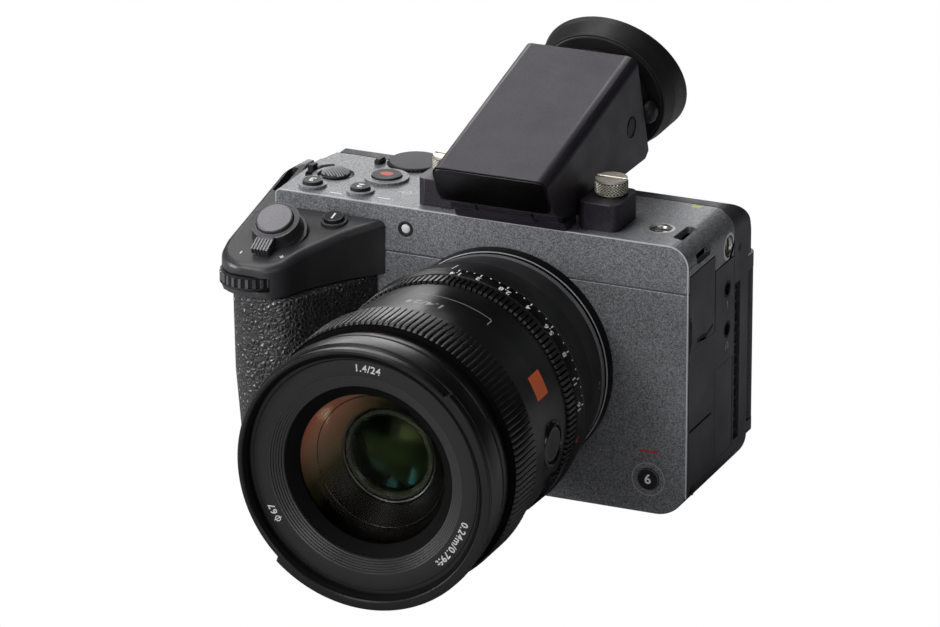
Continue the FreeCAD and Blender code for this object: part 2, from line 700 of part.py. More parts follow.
door_along = Vector(math.cos(math.radians(card_door_turn)), math.sin(math.radians(card_door_turn)), 0)
door_out = Vector(-door_along.y, door_along.x, 0)
door_rear = Vector(-rear_outline_left, d.seam_y, 0) - door_along * 1.2


def along_slant(distance, depth):
    """Point on the slanted rear side of the grip, measured forwards and inwards from its rear end."""
    point = door_rear - door_along * distance - door_out * depth
    return point.x, point.y


cut(grip_housing, "card_door_recess", "XY",
    outline(along_slant(-0.1, 1.75), along_slant(11.0, 1.75), along_slant(11.0, -3), along_slant(-0.1, -3)),
    str(card_door_low), str(card_door_high))
shoulder_left = d.cover_left_x - 0.05
pad(grip_housing, "shoulder", "XY",
    outline((-shoulder_left, -d.front_y + 0.05), (-d.grip_split_x - 0.05, -d.front_y + 0.05),
            (-d.grip_split_x - 0.05, d.seam_y - 0.05), (-rear_outline_left, d.seam_y - 0.05),
            (-shoulder_left, 8.0))
    + outline((-shoulder_left + 1.8, -d.front_y + 1.85), (-d.grip_split_x - 1.85, -d.front_y + 1.85),
              (-d.grip_split_x - 1.85, d.seam_y - 1.85), (-rear_outline_left + 1.6, d.seam_y - 1.85),
              (-shoulder_left + 1.8, 8.0)),
    HEAD_BOTTOM + "-0.6", SEAM + "-0.1")

# Grip head: the sloping control deck over the grip, with the strap bar on its left

grip_head = piece("grip_head")
deck_left = 75.3
head_outline = outline((-35.9, -d.front_y - 0.05), (-43.5, -22.4, 20), (-51.6, -35.4, 20),
    (-54.2, -45.4, 8.0),
                       (-73.2, -45.4, 10), (-deck_left, -33, 14), (-deck_left, 4, 8), (-71.8, 12.0),
                       (-d.cover_left_x - 0.05, 12.0), (-d.cover_left_x - 0.05, -d.front_y - 0.05))
pad(grip_head, "block", "XY", head_outline, HEAD_BOTTOM, "sizes.body_height-0.1")
slope = math.tan(math.radians(d.plate_tilt))


def deck_height(y):
    """Height of the sloping deck at a place along the camera's depth."""
    return plate_height + (y + d.front_y) * slope


cut(grip_head, "deck_slope", "YZ",
    outline((-60, deck_height(-60)), (20, deck_height(20)), (20, top + 16), (-60, top + 16)), "-90", "-20")


def outer_top_edge(edge):
    """True for the deck's outer rim, left, front and finger side."""
    ends = [vertex.Point for vertex in edge.Vertexes]
    on_deck = all(abs(point.z - min(deck_height(point.y), d.body_height - 0.1)) < 0.02 for point in ends)
    beside_cover = all(point.y > -d.front_y - 0.1 and point.x > -d.cover_left_x - 0.1 for point in ends)
    across = abs(ends[0].y - ends[-1].y) < 0.01 and ends[0].y > 0
    return on_deck and not beside_cover and not across and min(point.y for point in ends) < -14.5


round_edges(grip_head, "deck_rim", 2.4, outer_top_edge)
button_1_x, button_1_y = -49.5, -18.2
shutter_x, shutter_y = -61.9, -27.9
shutter_z = deck_height(shutter_y)
shutter_axis = Vector(0, -math.sin(math.radians(d.shutter_tilt)), math.cos(math.radians(d.shutter_tilt)))
deck_axis = Vector(0, -math.sin(math.radians(d.plate_tilt)), math.cos(math.radians(d.plate_tilt)))
shutter_seat = Vector(shutter_x, shutter_y, shutter_z)
button_1_seat = Vector(button_1_x, button_1_y, deck_height(button_1_y))
aimed(grip_head, "shutter_skirt", circle(0, 0, 8.3), shutter_seat, shutter_axis, "Pad", -4, 0.9)
aimed(grip_head, "lever_room", circle(0, 0, 7.65), shutter_seat, shutter_axis, "Pocket", 0.9, 7)
aimed(grip_head, "shutter_hub", circle(0, 0, 5.42), shutter_seat, shutter_axis, "Pad", -1, 3.2)
aimed(grip_head, "shutter_hole", circle(0, 0, 2.1), shutter_seat, shutter_axis, "Pocket", -4, 6)
aimed(grip_head, "button_1_trim", circle(0, 0, 3.8), button_1_seat, deck_axis, "Pad", -1, 0.6)
aimed(grip_head, "button_1_hole", circle(0, 0, d.button_radius + d.button_gap), button_1_seat, deck_axis,
    "Pocket", -3.5, 3)
cut(grip_head, "strap_slot", "XY", box_outline(-73.4, -7.6, -71.0, 5.4, 0.8), "sizes.body_height-9", TOP_OUT)
cut(grip_head, "strap_side", "YZ", box_outline(-7.6, top - 9.1, 5.4, top - 6.1, 0.8), "-80", "-71.8")
dial_x, dial_y = -65.2, -37.2
dial_slot_low = DIAL + "-sizes.front_dial_width/2-0.2"
dial_slot_high = DIAL + "+sizes.front_dial_width/2+0.2"
cut(grip_head, "dial_slot", "XY", circle(dial_x, dial_y, d.front_dial_radius + 0.3), dial_slot_low,
    dial_slot_high)
cut(grip_head, "dial_window", "XY", outline((dial_x - 8.5, dial_y - 5.0), (dial_x - 8.5, -50),
    (dial_x + 8.2, -50), (dial_x + 8.2, dial_y - 5.0)),
    dial_slot_low, dial_slot_high)
pad(grip_head, "dial_pin", "XY", circle(dial_x, dial_y, d.dial_shaft), dial_slot_low + "-0.5",
    dial_slot_high + "+0.5")

# Lens mount on the body

body_mount = piece("body_mount")
flange = -d.flange_distance
lens_turn(body_mount, "ring", (
    (d.mount_bore, flange), (d.mount_ring, flange), (d.mount_ring, -chassis_front),
    (d.mount_bore, -chassis_front)))
for index, middle in enumerate((90, 210, 330)):
    claw = pad(body_mount, "claw_%d" % index, "XZ",
               arc_band(0, 0, d.mount_throat, d.mount_bore + 0.3, middle, 30),
               "-sizes.flange_distance", "-sizes.flange_distance+1.6")
    claw.Profile[0].setExpression("AttachmentOffset.Base.y", AXIS)

mount_trim_ring = piece("mount_trim_ring")
trim_face = -d.front_y - 3.3
lens_turn(mount_trim_ring, "ring", (
    (d.mount_ring + 0.1, trim_face), (d.trim_ring - 0.5, trim_face), (d.trim_ring, -d.front_y),
    (d.mount_ring + 0.1, -d.front_y)))

# Lens: each length adds to the one behind it, from the flange to the front lip

rear_joint = flange - 2.0
aperture_rear = flange - d.lens_neck_length
aperture_front = aperture_rear - d.aperture_ring_width
focus_rear = aperture_front - d.mid_barrel_length
focus_front = focus_rear - d.focus_ring_width
tip = focus_front - d.front_barrel_length
glass_y = tip + d.front_glass_depth
front_edge = 6.0
inner_y = glass_y + 11.3
inner_edge = 5.0
joint_gap = 0.1
sleeve = d.lens_sleeve
focus_sleeve = sleeve + 1.5
glass_gap = 0.08

lens_mount = piece("lens_mount")
tab_root = d.lens_bore_radius + 1.1
lens_turn(lens_mount, "flange", (
    (d.lens_bore_radius, flange + 3.3), (tab_root, flange + 3.3), (tab_root, flange - 0.02),
    (d.lens_base_radius, flange - 0.02), (d.lens_base_radius, rear_joint), (d.lens_bore_radius, rear_joint)))
for index, middle in enumerate((90, 210, 330)):
    tab = pad(lens_mount, "tab_%d" % index, "XZ",
        arc_band(0, 0, tab_root - 0.7, d.mount_bore - 0.4, middle, 26),
              "-sizes.flange_distance+1.9", "-sizes.flange_distance+3.2")
    tab.Profile[0].setExpression("AttachmentOffset.Base.y", AXIS)

lens_barrel = piece("lens_barrel")
rear_room = d.rear_glass_radius + glass_gap
inner_room = d.inner_glass_radius + glass_gap
front_room = d.front_glass_radius + glass_gap
front_sleeve = d.barrel_room_radius - 0.5
iris_front = aperture_front + 0.4
lens_turn(lens_barrel, "tube", (
    (d.lens_bore_radius, rear_joint), (d.lens_base_radius, rear_joint),
    (d.lens_base_radius + 0.3, rear_joint - 1.2),
    (d.lens_base_radius + 2.5, flange - 14.0), (d.aperture_ring_radius - 0.6, aperture_rear + 0.15),
    (sleeve, aperture_rear + 0.15), (sleeve, aperture_front - joint_gap),
    (d.mid_barrel_radius - 0.7, aperture_front - joint_gap),
    (d.mid_barrel_radius - 0.5, aperture_front - 3.0),
    (d.mid_barrel_radius, aperture_front - 12.4), (d.focus_ring_radius - 0.9, focus_rear + 0.15),
    (focus_sleeve, focus_rear + 0.15), (focus_sleeve, focus_front - joint_gap),
    (front_sleeve, focus_front - joint_gap),
    (front_sleeve, glass_y - 0.1), (front_room, glass_y - 0.1), (front_room, glass_y + front_edge + 0.05),
    (inner_room, inner_y - 0.9), (inner_room, inner_y + inner_edge + 1.6),
    (d.barrel_room_radius, inner_y + inner_edge + 3.6),
    (d.barrel_room_radius, iris_front - 0.8), (d.iris_radius, iris_front), (d.iris_radius, iris_front + 1.0),
    (d.barrel_room_radius, iris_front + 2.2), (d.barrel_room_radius, flange - 22.0),
    (rear_room, flange - 20.0),
    (rear_room, flange - 7.0), (d.lens_bore_radius, flange - 5.0)))

hold_angle = -2.0
hold_y = aperture_front - 11.4
switch_angle = -31.0
switch_y = aperture_front - 5.0


def radial(degrees):
    """Unit vector away from the lens axis at an angle from +X towards +Z."""
    return Vector(math.cos(math.radians(degrees)), 0, math.sin(math.radians(degrees)))


hold_centre = Vector(0, hold_y, axis_z)
switch_centre = Vector(0, switch_y, axis_z)
hold_floor = d.mid_barrel_radius - 3.8
switch_floor = d.mid_barrel_radius - 2.2
outside = d.mid_barrel_radius + 6.4
aimed(lens_barrel, "hold_seat", circle(0, 0, d.hold_button_radius + 0.15), hold_centre, radial(hold_angle),
    "Pocket",
      hold_floor, outside)
aimed(lens_barrel, "switch_track", box_outline(-6.4, -1.8, 6.4, 1.8, 1.0), switch_centre,
    radial(switch_angle), "Pocket",
      switch_floor, outside)

aperture_ring = piece("aperture_ring")
lens_turn(aperture_ring, "ring", (
    (sleeve + d.running_gap, aperture_rear), (d.aperture_ring_radius, aperture_rear),
    (d.aperture_ring_radius - 0.2, aperture_rear - 4.8), (d.aperture_ring_radius - 1.1, aperture_front),
    (sleeve + d.running_gap, aperture_front)))

focus_ring = piece("focus_ring")
lens_turn(focus_ring, "ring", (
    (focus_sleeve + d.running_gap, focus_rear), (d.focus_ring_radius - 0.3, focus_rear),
    (d.focus_ring_radius, focus_rear - 0.6), (d.focus_ring_radius, focus_front + 0.6),
    (d.focus_ring_radius - 0.4, focus_front), (focus_sleeve + d.running_gap, focus_front)))

front_barrel = piece("front_barrel")
lip_rear = tip + d.lip_length
band_front = lip_rear + 1.4
band_rear = band_front + 5.6
groove_bottom = d.front_barrel_radius - d.rim_groove
name_seat = d.name_ring_radius + 0.05
filter_floor = tip + 2.7
seat_depth = 3.7
barrel_rear = focus_front - joint_gap - 0.05
lens_turn(front_barrel, "barrel", (
    (d.barrel_room_radius, barrel_rear), (d.front_barrel_radius - 1.3, barrel_rear),
    (d.front_barrel_radius - 0.2, band_rear + 1.6), (groove_bottom - 0.2, band_rear + 1.3),
    (groove_bottom - 0.2, band_rear + 0.4), (d.front_barrel_radius, band_rear),
    (d.front_barrel_radius, band_front),
    (groove_bottom, band_front - 0.4), (groove_bottom, band_front - 0.9), (d.lip_radius, lip_rear),
    (d.lip_radius, tip + 0.7), (d.lip_radius - 0.7, tip), (d.filter_radius + 0.5, tip),
    (d.filter_radius, tip + 0.5),
    (d.filter_radius, filter_floor), (name_seat, filter_floor), (name_seat, filter_floor + seat_depth),
    (d.barrel_room_radius, filter_floor + seat_depth)))

name_ring = piece("name_ring")
ridge_step = 0.62
ridge_fall = 0.36
ridge_count = 6
ridge_start = d.barrel_room_radius
plate_front = filter_floor - 0.05
plate_rear = filter_floor + seat_depth - 0.05
ridge_profile = [
    (d.name_ring_radius, plate_rear), (d.name_ring_radius, plate_front), (ridge_start, plate_front - 0.05)]
for index in range(ridge_count):
    radius = ridge_start - index * ridge_step
    depth = plate_front - 0.05 + index * ridge_fall
    ridge_profile.append((radius - ridge_step + 0.16, depth + 0.05))
    ridge_profile.append((radius - ridge_step, depth + ridge_fall))
lip_bore = d.front_glass_radius - 0.52
ring_sleeve = front_sleeve - 0.1
ridge_profile += [
    (d.glass_well_radius, tip + 4.9), (lip_bore, glass_y - 0.95), (lip_bore, glass_y - 0.4),
    (d.front_glass_radius + 0.28, glass_y - 0.15), (ring_sleeve, glass_y - 0.15), (ring_sleeve, plate_rear)]
lens_turn(name_ring, "ring", ridge_profile)


def lens_glass(body, radius, rim_y, front_sag, rear_sag, edge):
    """Glass element: a spherical front and rear surface meeting a cylindrical edge."""
    front_rim = Vector(radius, rim_y, 0)
    rear_rim = Vector(radius, rim_y + edge, 0)
    front_apex = Vector(0, rim_y - front_sag, 0)
    rear_apex = Vector(0, rim_y + edge + rear_sag, 0)

    def surface(rim, sag):
        """Arc from the rim to the axis."""
        sphere = (radius ** 2 + sag ** 2) / (2 * abs(sag))
        half = math.asin(radius / sphere) / 2
        reach = sphere * math.sin(half)
        rise = sphere * (1 - math.cos(half))
        apex_y = rim.y + sag
        middle = Vector(reach, apex_y - math.copysign(rise, sag), 0)
        return Part.Arc(rim, middle, Vector(0, apex_y, 0))

    edges = [surface(front_rim, -front_sag), Part.LineSegment(front_apex, rear_apex)]
    edges += [surface(rear_rim, rear_sag), Part.LineSegment(rear_rim, front_rim)]
    turn(body, "glass", "XY", edges, AXIS)


front_element = piece("front_element")
lens_glass(front_element, d.front_glass_radius, glass_y, 5.0, -3.0, front_edge)
inner_elements = piece("inner_elements")
lens_glass(inner_elements, d.inner_glass_radius, inner_y, 2.4, 1.0, inner_edge)
rear_element = piece("rear_element")
lens_glass(rear_element, d.rear_glass_radius, flange - 19.2, -2.0, 2.0, 10.0)

# Inside the body: sensor, heat sink, main board, fan and sockets

image_sensor = piece("image_sensor")
pad(image_sensor, "board", "XZ", box_outline(-24, axis_z - 19, 24, axis_z + 19, 1.5), "1.2", "2.8")
pad(image_sensor, "package", "XZ", box_outline(-20, axis_z - 14.5, 20, axis_z + 14.5, 1), "0.3", "1.3")
pad(image_sensor, "chip", "XZ",
    box_outline(-d.sensor_width / 2, axis_z - d.sensor_height / 2, d.sensor_width / 2,
    axis_z + d.sensor_height / 2), "0", "0.4")

heat_sink = piece("heat_sink")
fin_count = 12
pad(heat_sink, "plate", "XZ", box_outline(-25, axis_z - 19.4, 25, axis_z + 20.6, 1), "2.9", "4.5")
fin = pad(heat_sink, "fin", "XZ", box_outline(-24.5, axis_z - 17.4, -23.5, axis_z + 18.6), "4.4", "8.7")
row_of(heat_sink, fin, "X_Axis", 48, fin_count)

fan_x, fan_z = 33.0, axis_z - 5.4
fan_front = 12.6
main_board = piece("main_board")
pad(main_board, "board", "XZ", box_outline(-30, 16, 47.5, top - 7, 1), "8.8", "10.4")
pad(main_board, "fan_stator", "XZ", circle(fan_x, fan_z, 3.2), "10.3", "12.3")
pad(main_board, "fan_pin", "XZ", circle(fan_x, fan_z, 1.0), "12.2", "17.4")
pad(main_board, "processor", "XZ", box_outline(-9, axis_z - 3.4, 9, axis_z + 14.6, 0.5), "10.3", "12.0")

cooling_fan = piece("cooling_fan")
pad(cooling_fan, "hub", "XZ", circle(0, 0, 4.2) + circle(0, 0, 1.06), "0", "5.6")
fan_blade = pad(cooling_fan, "blade", "XZ", outline((3.9, -0.4), (10.4, 1.6), (10.4, 2.6), (3.9, 0.6)),
    "0.4", "5.4")
ring_of(cooling_fan, fan_blade, 9, ("Y_Axis",))
place(cooling_fan, str(fan_x), str(fan_front), str(fan_z))

tripod_socket = piece("tripod_socket")
pad(tripod_socket, "sleeve", "XY", circle(0, 0, d.tripod_sleeve), "0", "10")
cut(tripod_socket, "bore", "XY", circle(0, 0, d.thread_bore), "-1", "8.2")


def bored_sleeve(name, outer, bore, length, depth):
    """Cylinder with a blind bore opening at its far end, from the sheet's sizes."""
    body = doc.addObject("Part::Cylinder", name + "_body")
    body.setExpression("Radius", outer)
    body.setExpression("Height", length)
    hole = doc.addObject("Part::Cylinder", name + "_bore")
    hole.setExpression("Radius", bore)
    hole.setExpression("Height", "(%s)+1" % depth)
    hole.setExpression("Placement.Base.z", "(%s)-(%s)" % (length, depth))
    result = doc.addObject("Part::Cut", name)
    result.Base = body
    result.Tool = hole
    return result


top_insert = bored_sleeve("top_insert", "sizes.thread_sleeve", "sizes.thread_bore", "7", "6")
top_insert.Placement = Placement(Vector(thread_x, thread_y, top - 7), Rotation())
side_insert = bored_sleeve("side_insert", "sizes.thread_sleeve", "sizes.thread_bore", "7", "6")
side_insert.Placement = Placement(Vector(d.side_x - 7, side_thread_y, side_thread_z), Rotation(Vector(0, 1, 0), 90))
thread_inserts = doc.addObject("Part::Compound", "thread_inserts")
thread_inserts.Links = [top_insert, side_insert]
thread_inserts.Label = "thread_inserts"
nodes.append(thread_inserts)


def jack(name, height):
    """Round jack: a wide barrel behind the panel and a nose that comes through it."""
    barrel = doc.addObject("Part::Cylinder", name + "_barrel")
    barrel.setExpression("Radius", "sizes.jack_sleeve")
    barrel.Height = 9
    nose = doc.addObject("Part::Cylinder", name + "_nose")
    nose.setExpression("Radius", "sizes.jack_nose")
    nose.setExpression("Height", "9.1+sizes.wall")
    joined = doc.addObject("Part::Fuse", name + "_outside")
    joined.Base = barrel
    joined.Tool = nose
    hole = doc.addObject("Part::Cylinder", name + "_bore")
    hole.setExpression("Radius", "sizes.jack_bore")
    hole.Height = 20
    hole.Placement = Placement(Vector(0, 0, 2), Rotation())
    result = doc.addObject("Part::Cut", name)
    result.Base = joined
    result.Tool = hole
    result.Placement = Placement(Vector(d.side_x - d.wall - 9.1, jack_y, height), Rotation(Vector(0, 1, 0), 90))
    return result


jack_sockets = doc.addObject("Part::Compound", "jack_sockets")
jack_sockets.Links = [jack("mic_jack", mic_jack_z), jack("phone_jack", phone_jack_z)]
jack_sockets.Label = "jack_sockets"
nodes.append(jack_sockets)

tally_lamp = piece("tally_lamp")
pad(tally_lamp, "bezel", "XZ", circle(lamp_x, lamp_z, 2.25), "-sizes.front_y-0.15", "-sizes.front_y+1.35")
pad(tally_lamp, "lens", "XZ", circle(lamp_x, lamp_z, 1.1), "-sizes.front_y-0.4", "-sizes.front_y")

battery = piece("battery")
pad(battery, "pack", "XY",
    box_outline(battery_x, battery_y, battery_x + d.battery_thickness, battery_y + d.battery_depth, 1),
    "sizes.battery_floor", HEAD_BOTTOM + "-sizes.battery_headroom")

memory_card = piece("memory_card")
pad(memory_card, "card", "XZ",
    outline((card_x, card_z), (card_x + d.card_length, card_z),
    (card_x + d.card_length, card_z + d.card_width - 3),
            (card_x + d.card_length - 3, card_z + d.card_width), (card_x, card_z + d.card_width)),
    str(card_y), str(card_y + d.card_thickness))

# Controls: each button is a cap with a flange behind the cover


def button(label, radius, rise, below, flange_at, flange=0.9):
    """Round cap around its own axis, z = 0 on the cover's surface, held by a flange behind the cover."""
    body = piece(label)
    pad(body, "cap", "XY", circle(0, 0, radius), str(-below), str(rise))
    pad(body, "flange", "XY", circle(0, 0, radius + flange), str(-flange_at - 0.7), str(-flange_at))
    round_edges(body, "cap_rim", 0.35, on_level(rise))
    return body


behind = d.wall + 0.06
cap_rise = 1.9
cap_depth = 2.5
button_2 = button("button_2", d.button_radius, cap_rise, cap_depth, behind)
place(button_2, str(button_2_x), str(button_2_y), "sizes.body_height")
button_3 = button("button_3", d.button_radius, cap_rise, cap_depth, behind)
place(button_3, str(button_3_x), str(button_3_y), "sizes.body_height")
rec_button = button("rec_button", d.record_radius, cap_rise - 0.4, cap_depth, behind)
place(rec_button, str(record_x), str(record_y), "sizes.body_height")
button_6 = button("button_6", d.front_button_radius, 0.9, cap_depth, behind, 0.7)
place(button_6, str(front_button_x), "-sizes.front_y", str(front_button_z), (1, 0, 0), "90")
lens_release_button = button("lens_release_button", d.release_radius, 1.6, cap_depth, behind)
place(lens_release_button, str(release_x), "-sizes.front_y", str(release_z), (1, 0, 0), "90")
menu_button = button("menu_button", d.menu_radius, 0.8, d.crown_wall + 0.4, d.crown_wall + 0.06, 0.6)
place(menu_button, str(menu_x), "sizes.rear_crown_y", str(menu_z), (1, 0, 0), "-90")

button_1 = piece("button_1")
pad(button_1, "cap", "XY", circle(0, 0, d.button_radius), "-2.6", "1.9")
round_edges(button_1, "cap_rim", 0.35, on_level(cap_rise))
place(button_1, str(button_1_seat.x), str(button_1_seat.y), str(button_1_seat.z), (1, 0, 0),
    "sizes.plate_tilt")

multi_selector = piece("multi_selector")
turn(multi_selector, "knob", "XZ",
     outline((0, -2.8), (3.2, -2.8), (3.2, -2.1), (2.45, -2.1), (2.45, -0.3), (d.selector_radius, 0.1),
     (d.selector_radius, 1.1, 0.3),
             (2.4, 1.9, 1.0), (0, 2.2)))
place(multi_selector, str(selector_x), str(selector_y), "sizes.body_height")

power_switch = piece("power_switch")
pad(power_switch, "arc", "XY", arc_band(0, 0, switch_inner + 0.15, switch_outer - 0.15, 170, 18), "-0.75",
    "0.3")
pad(power_switch, "grip", "XY", arc_band(0, 0, switch_inner + 0.4, switch_outer + 0.1, 170, 10), "0.2", "1.6")
place(power_switch, str(selector_x), str(selector_y), "sizes.body_height")

rear_dial = piece("rear_dial")
pad(rear_dial, "disc", "XY", ribbed_outline(d.rear_dial_radius, 0.45, int(d.rear_dial_ribs)), "-1.05", "1.6")
pad(rear_dial, "cap", "XY", circle(0, 0, d.rear_dial_radius - 0.6), "1.5", "2.0")
pad(rear_dial, "shaft", "XY", circle(0, 0, d.dial_shaft), "-6.0", "-1")
place(rear_dial, str(rear_dial_x), str(rear_dial_y), "sizes.body_height")

front_dial = piece("front_dial")
pad(front_dial, "wheel", "XY",
    ribbed_outline(d.front_dial_radius, 0.7, int(d.front_dial_ribs), 0.5) + circle(0, 0, d.dial_shaft + 0.08),
    "-sizes.front_dial_width/2", "sizes.front_dial_width/2")
place(front_dial, str(dial_x), str(dial_y), DIAL)

shutter_button = piece("shutter_button")
turn(shutter_button, "cap", "XZ",
     outline((0, -2.0), (1.95, -2.0), (1.95, 4.6), (d.shutter_radius, 4.6), (d.shutter_radius, 6.1, 0.4),
     (4.4, 6.35, 0.5), (0, 6.15)))
place(shutter_button, str(shutter_seat.x), str(shutter_seat.y), str(shutter_seat.z), (1, 0, 0),
    "sizes.shutter_tilt")

zoom_lever = piece("zoom_lever")
turn(zoom_lever, "ring", "XZ",
     outline((5.5, 1.1), (7.4, 1.1), (6.9, 2.2), (6.9, 5.2, 0.4), (5.5, 5.2)))
pad(zoom_lever, "tab", "XY", outline((-2.6, -6.3), (-2.6, -11.6, 0.8), (2.6, -11.6, 0.8), (2.6, -6.3)),
    "3.6", "5.4")
place(zoom_lever, str(shutter_seat.x), str(shutter_seat.y), str(shutter_seat.z), (1, 0, 0),
    "sizes.shutter_tilt")

control_wheel = piece("control_wheel")
turn(control_wheel, "wheel", "XZ",
     outline((0, -5.2), (d.dial_shaft, -5.2), (d.dial_shaft, -1.5), (d.wheel_radius, -1.5),
     (d.wheel_radius, 0.2, 0.6), (4.6, 0.8), (4.4, 0.1), (0, 0.1)))
place(control_wheel, str(wheel_x), "sizes.rear_crown_y", str(wheel_z), (1, 0, 0), "-90")

# Monitor on its swing bracket

monitor_front = d.rear_y + 0.4
glass_right_x = d.monitor_right_x - 7.3
pivot_z = (d.monitor_bottom + monitor_top) / 2
monitor_housing = piece("monitor_housing")
pad(monitor_housing, "case", "XZ",
    box_outline(-d.monitor_left_x, d.monitor_bottom, d.monitor_right_x, monitor_top, 3), str(monitor_front),
    "sizes.monitor_rear_y")
cut(monitor_housing, "glass_seat", "XZ",
    box_outline(-d.monitor_left_x + d.glass_margin, d.monitor_bottom + d.glass_margin, glass_right_x,
    monitor_top - d.glass_margin, 1.5), "sizes.monitor_rear_y-1", "sizes.monitor_rear_y+1")
cut(monitor_housing, "bracket_notch", "XZ",
    box_outline(d.monitor_right_x - 4.7, pivot_z - 13, d.side_x + 6, pivot_z + 13), "0", "60")
cut(monitor_housing, "pin_seat", "YZ", circle(hinge_y, pivot_z, d.monitor_pivot + 0.06), "38", "43")

monitor_glass = piece("monitor_glass")
pad(monitor_glass, "sheet", "XZ",
    box_outline(-d.monitor_left_x + d.glass_margin + 0.05, d.monitor_bottom + d.glass_margin + 0.05,
    glass_right_x - 0.05, monitor_top - d.glass_margin - 0.05, 1.45),
    "sizes.monitor_rear_y-0.98", "sizes.monitor_rear_y-0.1")

monitor_bracket = piece("monitor_bracket")
pad(monitor_bracket, "barrel", "XY", circle(hinge_x, hinge_y, d.monitor_barrel) +
    circle(hinge_x, hinge_y, d.monitor_pin + d.running_gap),
    "sizes.lug_low_top+0.1", LUG_FOOT + "-0.1")
pad(monitor_bracket, "arm", "XZ", box_outline(d.monitor_right_x - 4.5, pivot_z - 11, 49.0, pivot_z + 11),
    str(hinge_y - 1.7), str(hinge_y + 1.7))
cut(monitor_bracket, "pin_bore", "XY", circle(hinge_x, hinge_y, d.monitor_pin + d.running_gap), "0", "70")
pad(monitor_bracket, "pivot", "YZ", circle(hinge_y, pivot_z, d.monitor_pivot), "38.6", "43")

# Doors

side_door = piece("side_door")
side_hinge_y = d.door_seam_y - 0.75
pad(side_door, "plate", "XY",
    outline((d.side_x - d.door_thickness, -12.4), (d.side_x, -12.4), (d.side_x, side_hinge_y + 0.6, 0.59),
            (d.side_x - d.door_thickness, side_hinge_y + 0.6, 0.59)), SIDE_DOOR_BOTTOM + "+sizes.door_gap",
            SIDE_DOOR_TOP)
cut(side_door, "finger_notch", "YZ", box_outline(-13, 52.5, -11.7, 58.5), "50", "60")

port_door = piece("port_door")
port_hinge_y = 19.25
pad(port_door, "plate", "XY",
    outline((d.side_x - d.door_thickness, d.door_seam_y + 0.25), (d.side_x, d.door_seam_y + 0.25),
    (d.side_x, port_hinge_y + 0.6, 0.59),
            (d.side_x - d.door_thickness, port_hinge_y + 0.6, 0.59)), "sizes.port_door_bottom", PORT_DOOR_TOP)

card_door = piece("card_door")
pad(card_door, "plate", "XY", outline((-0.6, 0.6, 0.59), (-0.6, -0.6, 0.59), (10.15, -0.6), (10.15, 0.6)),
    str(card_door_low + 0.12), str(card_door_high - 0.12))
card_hinge = door_rear - door_along * 0.62 - door_out * 0.95
card_door.Placement = Placement(Vector(card_hinge.x, card_hinge.y, 0),
    Rotation(Vector(0, 0, 1), card_door_turn + 180))

battery_door = piece("battery_door")
battery_hinge_x = -44.6
pad(battery_door, "plate", "XZ",
    outline((-68.35, 0), (battery_hinge_x + 0.85, 0, 0.84), (battery_hinge_x + 0.85, 1.7, 0.84),
    (-68.35, 1.7)),
    str(battery_y - 1.45), str(battery_y + d.battery_depth + 1.25))
cut(battery_door, "latch_slot", "XY", slot_outline(-65, battery_y + 19, 4, 0.9, True), "-1", "0.6")

# Electronic finder: foot on the body, housing that tilts on the foot

hinge_point_y, hinge_point_z = -17.0, top + 6.2
centre_x = d.finder_centre_x
finder_base = piece("finder_base")
pad(finder_base, "plate", "XY",
    box_outline(centre_x - d.foot_half_width, -14.4, centre_x + d.foot_half_width, d.foot_rear_y, 1),
    "sizes.body_height+0.05", FOOT_TOP)
wing_inner = d.finder_half_bottom + d.wing_inner_gap
for name, side in (("left", -1), ("right", 1)):
    inner_x = centre_x + side * wing_inner
    outer_x = centre_x + side * d.foot_half_span
    left_x, right_x = min(inner_x, outer_x), max(inner_x, outer_x)
    pad(finder_base, name + "_wing", "XY", box_outline(left_x, -d.wing_front_y, right_x, d.foot_rear_y, 2.4),
        "sizes.body_height+0.05", WING_TOP)
    link_x = centre_x + side * 15.0
    pad(finder_base, name + "_link", "XY",
        box_outline(min(link_x, inner_x + side * 3), -d.wing_front_y + 3, max(link_x, inner_x + side * 3),
        d.foot_rear_y - 3),
        "sizes.body_height+0.05", FOOT_TOP)
    cut(finder_base, name + "_screw_hole", "XY",
        circle(centre_x + side * d.screw_half_span, -1, d.screw_shank + 0.15),
        "sizes.body_height-2", WING_TOP + "+1")
knuckle_left, knuckle_right = str(centre_x - 7.8), str(centre_x + 8.2)
pad(finder_base, "chin", "YZ", outline((-14.0, top + 0.05), (-10.0, top + 0.05),
    (-10.0, top + d.foot_thickness), (-16.0, top + d.foot_thickness), (-14.45, top + 0.2)),
    str(centre_x - d.foot_half_width), str(centre_x + d.foot_half_width))
pad(finder_base, "web", "YZ", outline((-13.2, top + 1.5), (-15.8, top + 1.8), (-19.0, top + 4.9),
    (-14.9, top + 7.2)), knuckle_left, knuckle_right)
pad(finder_base, "knuckle", "YZ", circle(hinge_point_y, hinge_point_z, d.hinge_radius), knuckle_left,
    knuckle_right)
pad(finder_base, "hinge_pin", "YZ", circle(hinge_point_y, hinge_point_z, d.hinge_pin), str(centre_x - 15),
    str(centre_x + 15))

